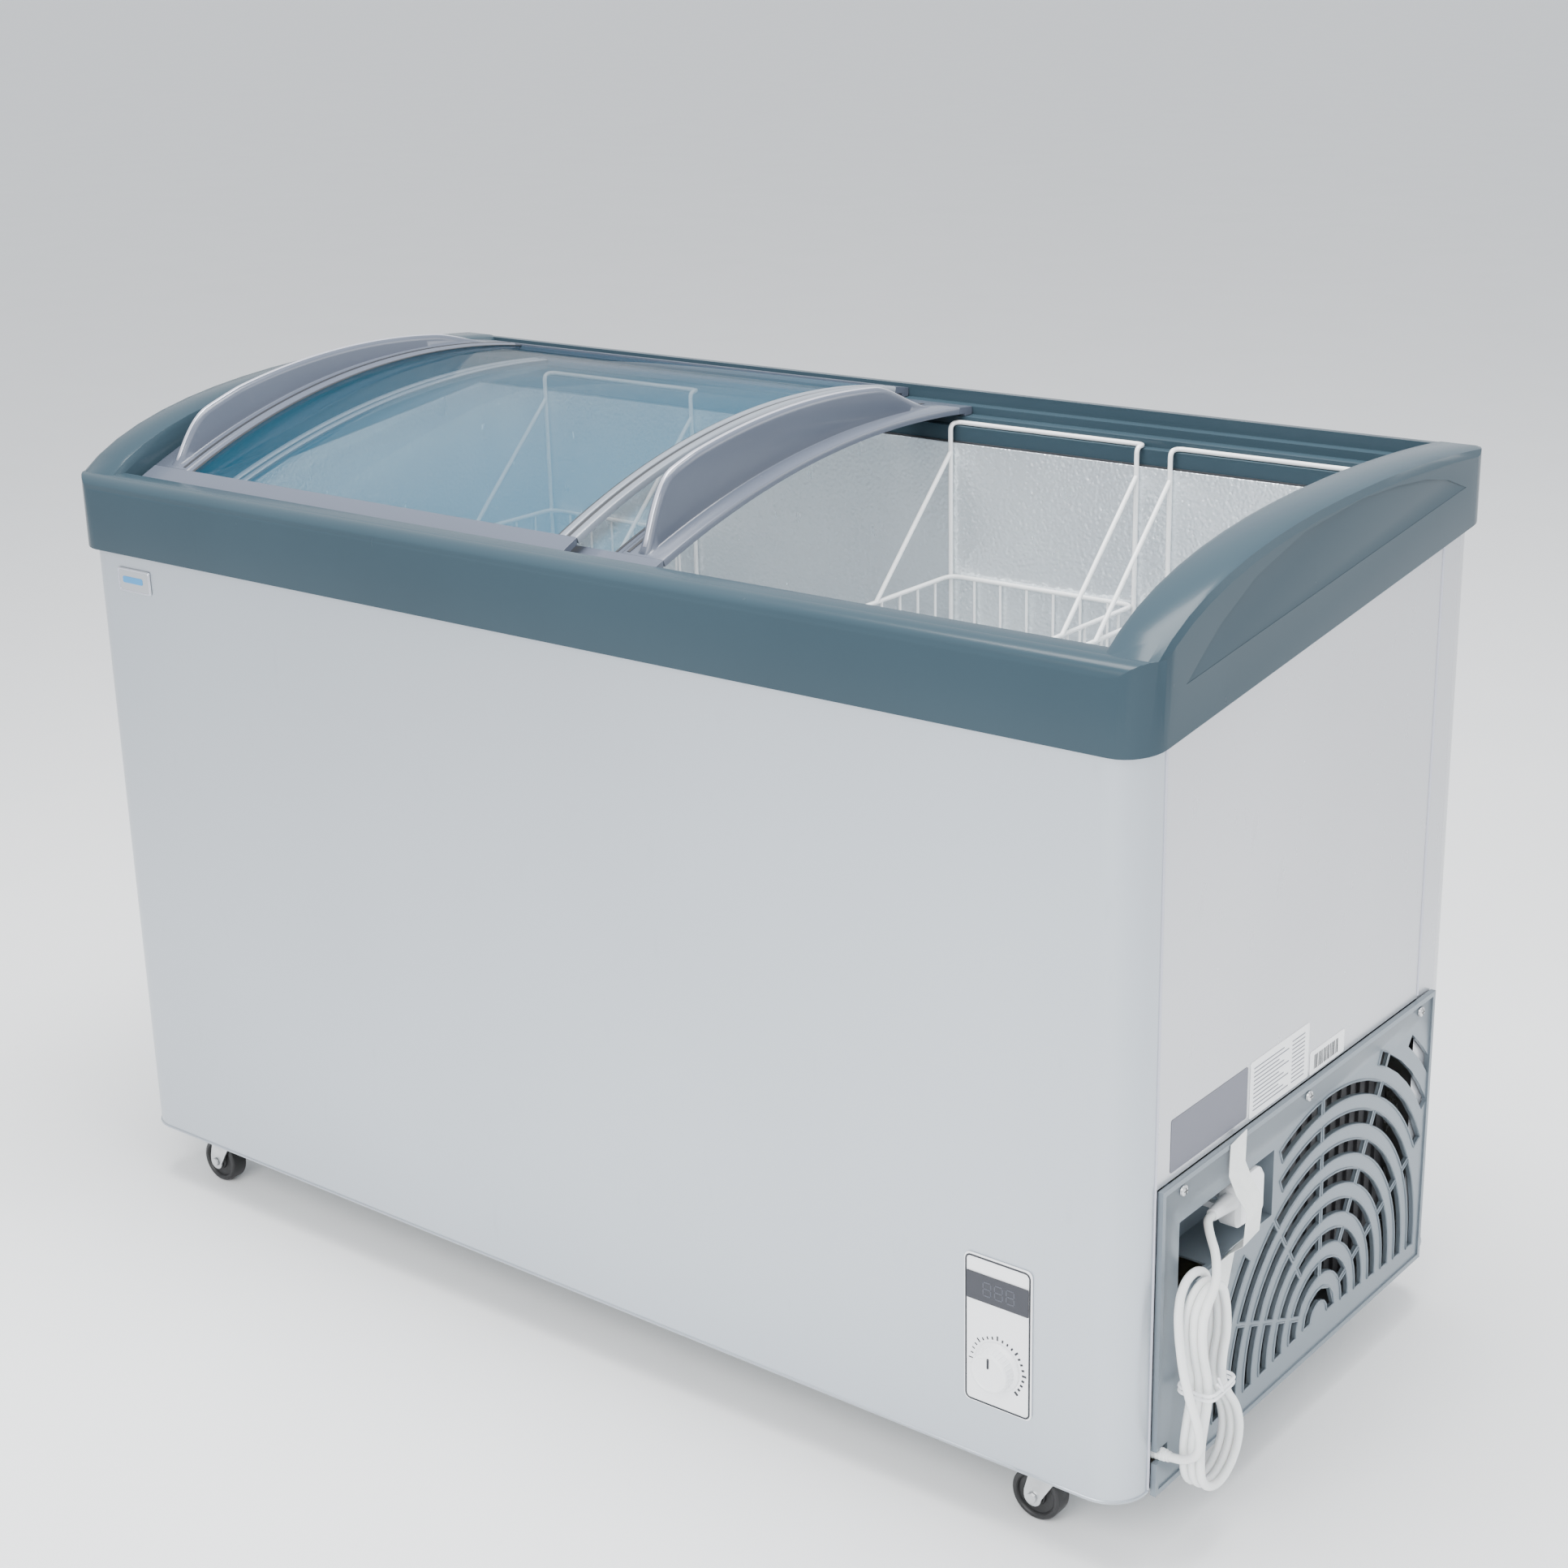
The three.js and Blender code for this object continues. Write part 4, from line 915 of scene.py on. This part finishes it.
def make_machine(look):
    """The grille with its lips and screws, and the machinery behind it."""
    refine("machine_grille", "side_grille", look["grille"])
    lips = []
    for loop in slot_loops():
        if all(y < GRILLE_Y - 7 and z < GRILLE_TOP - 6 for y, z in loop):
            lips.append(tube([(GRILLE_FACE + 0.1, y, z) for y, z in loop], 1.15, 6, closed=True))
    add("grille_slot_lips", joined(*lips), look["grille"], "cabinet", angle=60)
    for k in (1, 2, 3):
        refine(f"grille_screw_{k}", f"grille_screw_head_{k}", look["zinc"], edge=0.2)
    # black crosses laid on the zinc screw heads: painted shade where the cross recesses are
    recess_shade_crosses = []
    for y in SCREWS_Y:
        for half_y, half_z in ((3, 0.5), (0.5, 3)):
            recess_shade_crosses.append(block(GRILLE_FACE + 3.2, GRILLE_FACE + 3.4, y - half_y, y + half_y,
                                 SCREW_Z - half_z, SCREW_Z + half_z))
    add("grille_screw_recesses", joined(*recess_shade_crosses), look["black_plastic"], "cabinet")
    refine("compressor", "compressor_pot", look["black_iron"], edge=1.5)
    refine("condenser", "condenser_core", look["fins"], edge=0.3)
    refine("fan_shroud", "fan_shroud_plate", look["galvanised"], edge=0.5)
    refine("fan_motor", "fan_motor_can", look["galvanised"], edge=0.8)
    refine("fan_blade", "fan_rotor", look["black_plastic"], edge=0.5)
    high_side = [(470, -120, 196), (470, -120, 232), (530, -100, 236), (570, -60, 236), (600, -26, 226)]
    low_side = [(405, -130, 190), (395, -130, 240), (372, -60, 244), (360, 40, 244), (350, 120, 244)]
    pipes = [tube(rounded(path, 22, 6), 4, 10) for path in (high_side, low_side)]
    add("refrigerant_pipes", joined(*pipes), look["copper"], "cabinet")


# ---- controls -------------------------------------------------------------------------------------


def make_controls(look):
    """The control panel with its dial, display and knob, and the badge."""
    refine("control_plate", "control_panel", look["white_plastic"], edge=0.5)
    refine("display_window", "display_glass", look["display"], edge=0.2)
    outer = rounded_rectangle(489, 555, 58, 200, 5)
    border = tube([(x, PLATE_FRONT, z) for x, z in outer], 0.9, 6, closed=True)
    add("control_panel_outline", border, look["print"], "cabinet")

    marks = []
    count = 25
    for k in range(count):
        share = k / (count - 1)
        turn = math.radians(225 - 270 * share)
        out = (math.cos(turn), math.sin(turn))
        long = k % 4 == 0
        wide = 0.4 + 0.75 * share  # the marks grow round the dial
        near, far = 25.6, 30 if long else 28.4
        across = (-out[1], out[0])
        outline = [(KNOB["x"] + out[0] * r + across[0] * w, KNOB["z"] + out[1] * r + across[1] * w)
                   for r, w in ((near, -wide), (far, -wide), (far, wide), (near, wide))]
        marks.append(prism(outline, PLATE_FRONT - 0.2, PLATE_FRONT + 0.1, "y"))
    add("dial_marks", joined(*marks), look["print"], "cabinet")

    segments = []
    window = -305.2  # front face of the display window
    half = 0.6
    for digit in range(3):
        x, z = 508 + 12 * digit, 165
        bars = [(x, x + 7, z + h - half, z + h + half) for h in (0, 6.5, 13)]
        bars += [(x + w - half, x + w + half, z + h + 0.9, z + h + 5.6)
                 for w in (-0.5, 7.5) for h in (0, 6.5)]
        segments += [block(x0, x1, window - 0.12, window + 0.1, z0, z1) for x0, x1, z0, z1 in bars]
    add("display_segments", joined(*segments), look["segment"], "cabinet")

    height = KNOB["seat"] - KNOB["front"]
    flange = KNOB["radius"]
    profile = [(0, 0), (flange, 0), (flange, 1.6), (flange - 0.4, 2.2), (20.4, 3.2), (19.6, 4),
               (18.8, height - 2.4), (18.2, height - 1.1), (17, height - 0.3), (15.6, height - 0.3),
               (14.8, height - 0.9), (0, height - 0.9)]
    to_front = Matrix.Rotation(math.pi / 2, 3, "X")
    turned = moved(lathe(profile, 64), (KNOB["x"], KNOB["seat"], KNOB["z"]), to_front)
    flutes = []
    flute_count = 30
    for k in range(flute_count):
        turn = 2 * math.pi * k / flute_count
        x, z = KNOB["x"] + 19.4 * math.cos(turn), KNOB["z"] + 19.4 * math.sin(turn)
        top_x, top_z = KNOB["x"] + 18.6 * math.cos(turn), KNOB["z"] + 18.6 * math.sin(turn)
        flutes.append(tube([(x, -308.4, z), (top_x, KNOB["front"] + 2.2, top_z)], 0.7, 6))
    add("knob", joined(turned, *flutes), look["white_plastic"], "knob", ["thermostat_knob"])
    bar = rounded_rectangle(KNOB["x"] - 0.9, KNOB["x"] + 0.9, KNOB["z"] + 5, KNOB["z"] + 15, 0.8, 3)
    pointer = prism(bar, KNOB["front"] + 0.1, KNOB["front"] + 1.2, "y")
    add("knob_pointer", pointer, look["print"], "knob")

    refine("badge_plate", "badge", look["badge"], edge=0.5)
    face = -303.8  # front face of the badge
    border = rounded_rectangle(-594.5, -545.5, 636.5, 659.5, 2.5)
    rim = tube([(x, face, z) for x, z in border], 0.7, 6, closed=True)
    add("badge_rim", rim, look["bright"], "cabinet")
    inlay = prism(rounded_rectangle(-588, -556, 645, 652, 2), face - 0.3, face + 0.1, "y")
    add("badge_inlay", inlay, look["badge_inlay"], "cabinet")


# ---- casters ----------------------------------------------------------------------------------------


def make_casters(look):
    """Four swivel casters, each with a grooved tyre on its axle."""
    to_front = Matrix.Rotation(math.pi / 2, 3, "X")
    half, radius, bore = WHEEL["half"], WHEEL["radius"], WHEEL["bore"]
    groove = -half + 3
    tread = [(bore, -half), (9, -half), (10, -half + 0.8), (10.6, groove), (18.5, groove),
             (19.4, -half + 0.8), (20.5, -half)]
    for k in range(6):
        turn = math.pi / 2 * k / 5
        tread.append((radius - 3 + 3 * math.sin(turn), -half + 3 - 3 * math.cos(turn)))
    profile = tread + [(r, -z) for r, z in reversed(tread)] + [tread[0]]
    for end, y in (("front", -CASTER_Y), ("rear", CASTER_Y)):
        for side, x in (("left", -CASTER_X), ("right", CASTER_X)):
            name = f"caster_{end}_{side}"
            refine(f"{name}_plate", f"{name}_top_plate", look["zinc"], edge=0.5)
            refine(f"{name}_fork", f"{name}_yoke", look["zinc"], edge=0.4)
            refine(f"{name}_axle", f"{name}_pin", look["zinc"], edge=0.4)
            place = (x - WHEEL["trail"], y, radius - CASTER_HEIGHT)
            add(f"{name}_tyre", moved(lathe(profile, 56), place, to_front), look["tyre"], f"{name}_roller",
                [f"{name}_wheel"])


# ---- the freezer ------------------------------------------------------------------------------------

make_camera()
look = make_materials()
make_lead(look)
make_studio()
make_cabinet(look)
make_labels(look)
for lid in LIDS:
    make_lid(lid, look)
make_baskets(look)
make_machine(look)
make_controls(look)
make_casters(look)
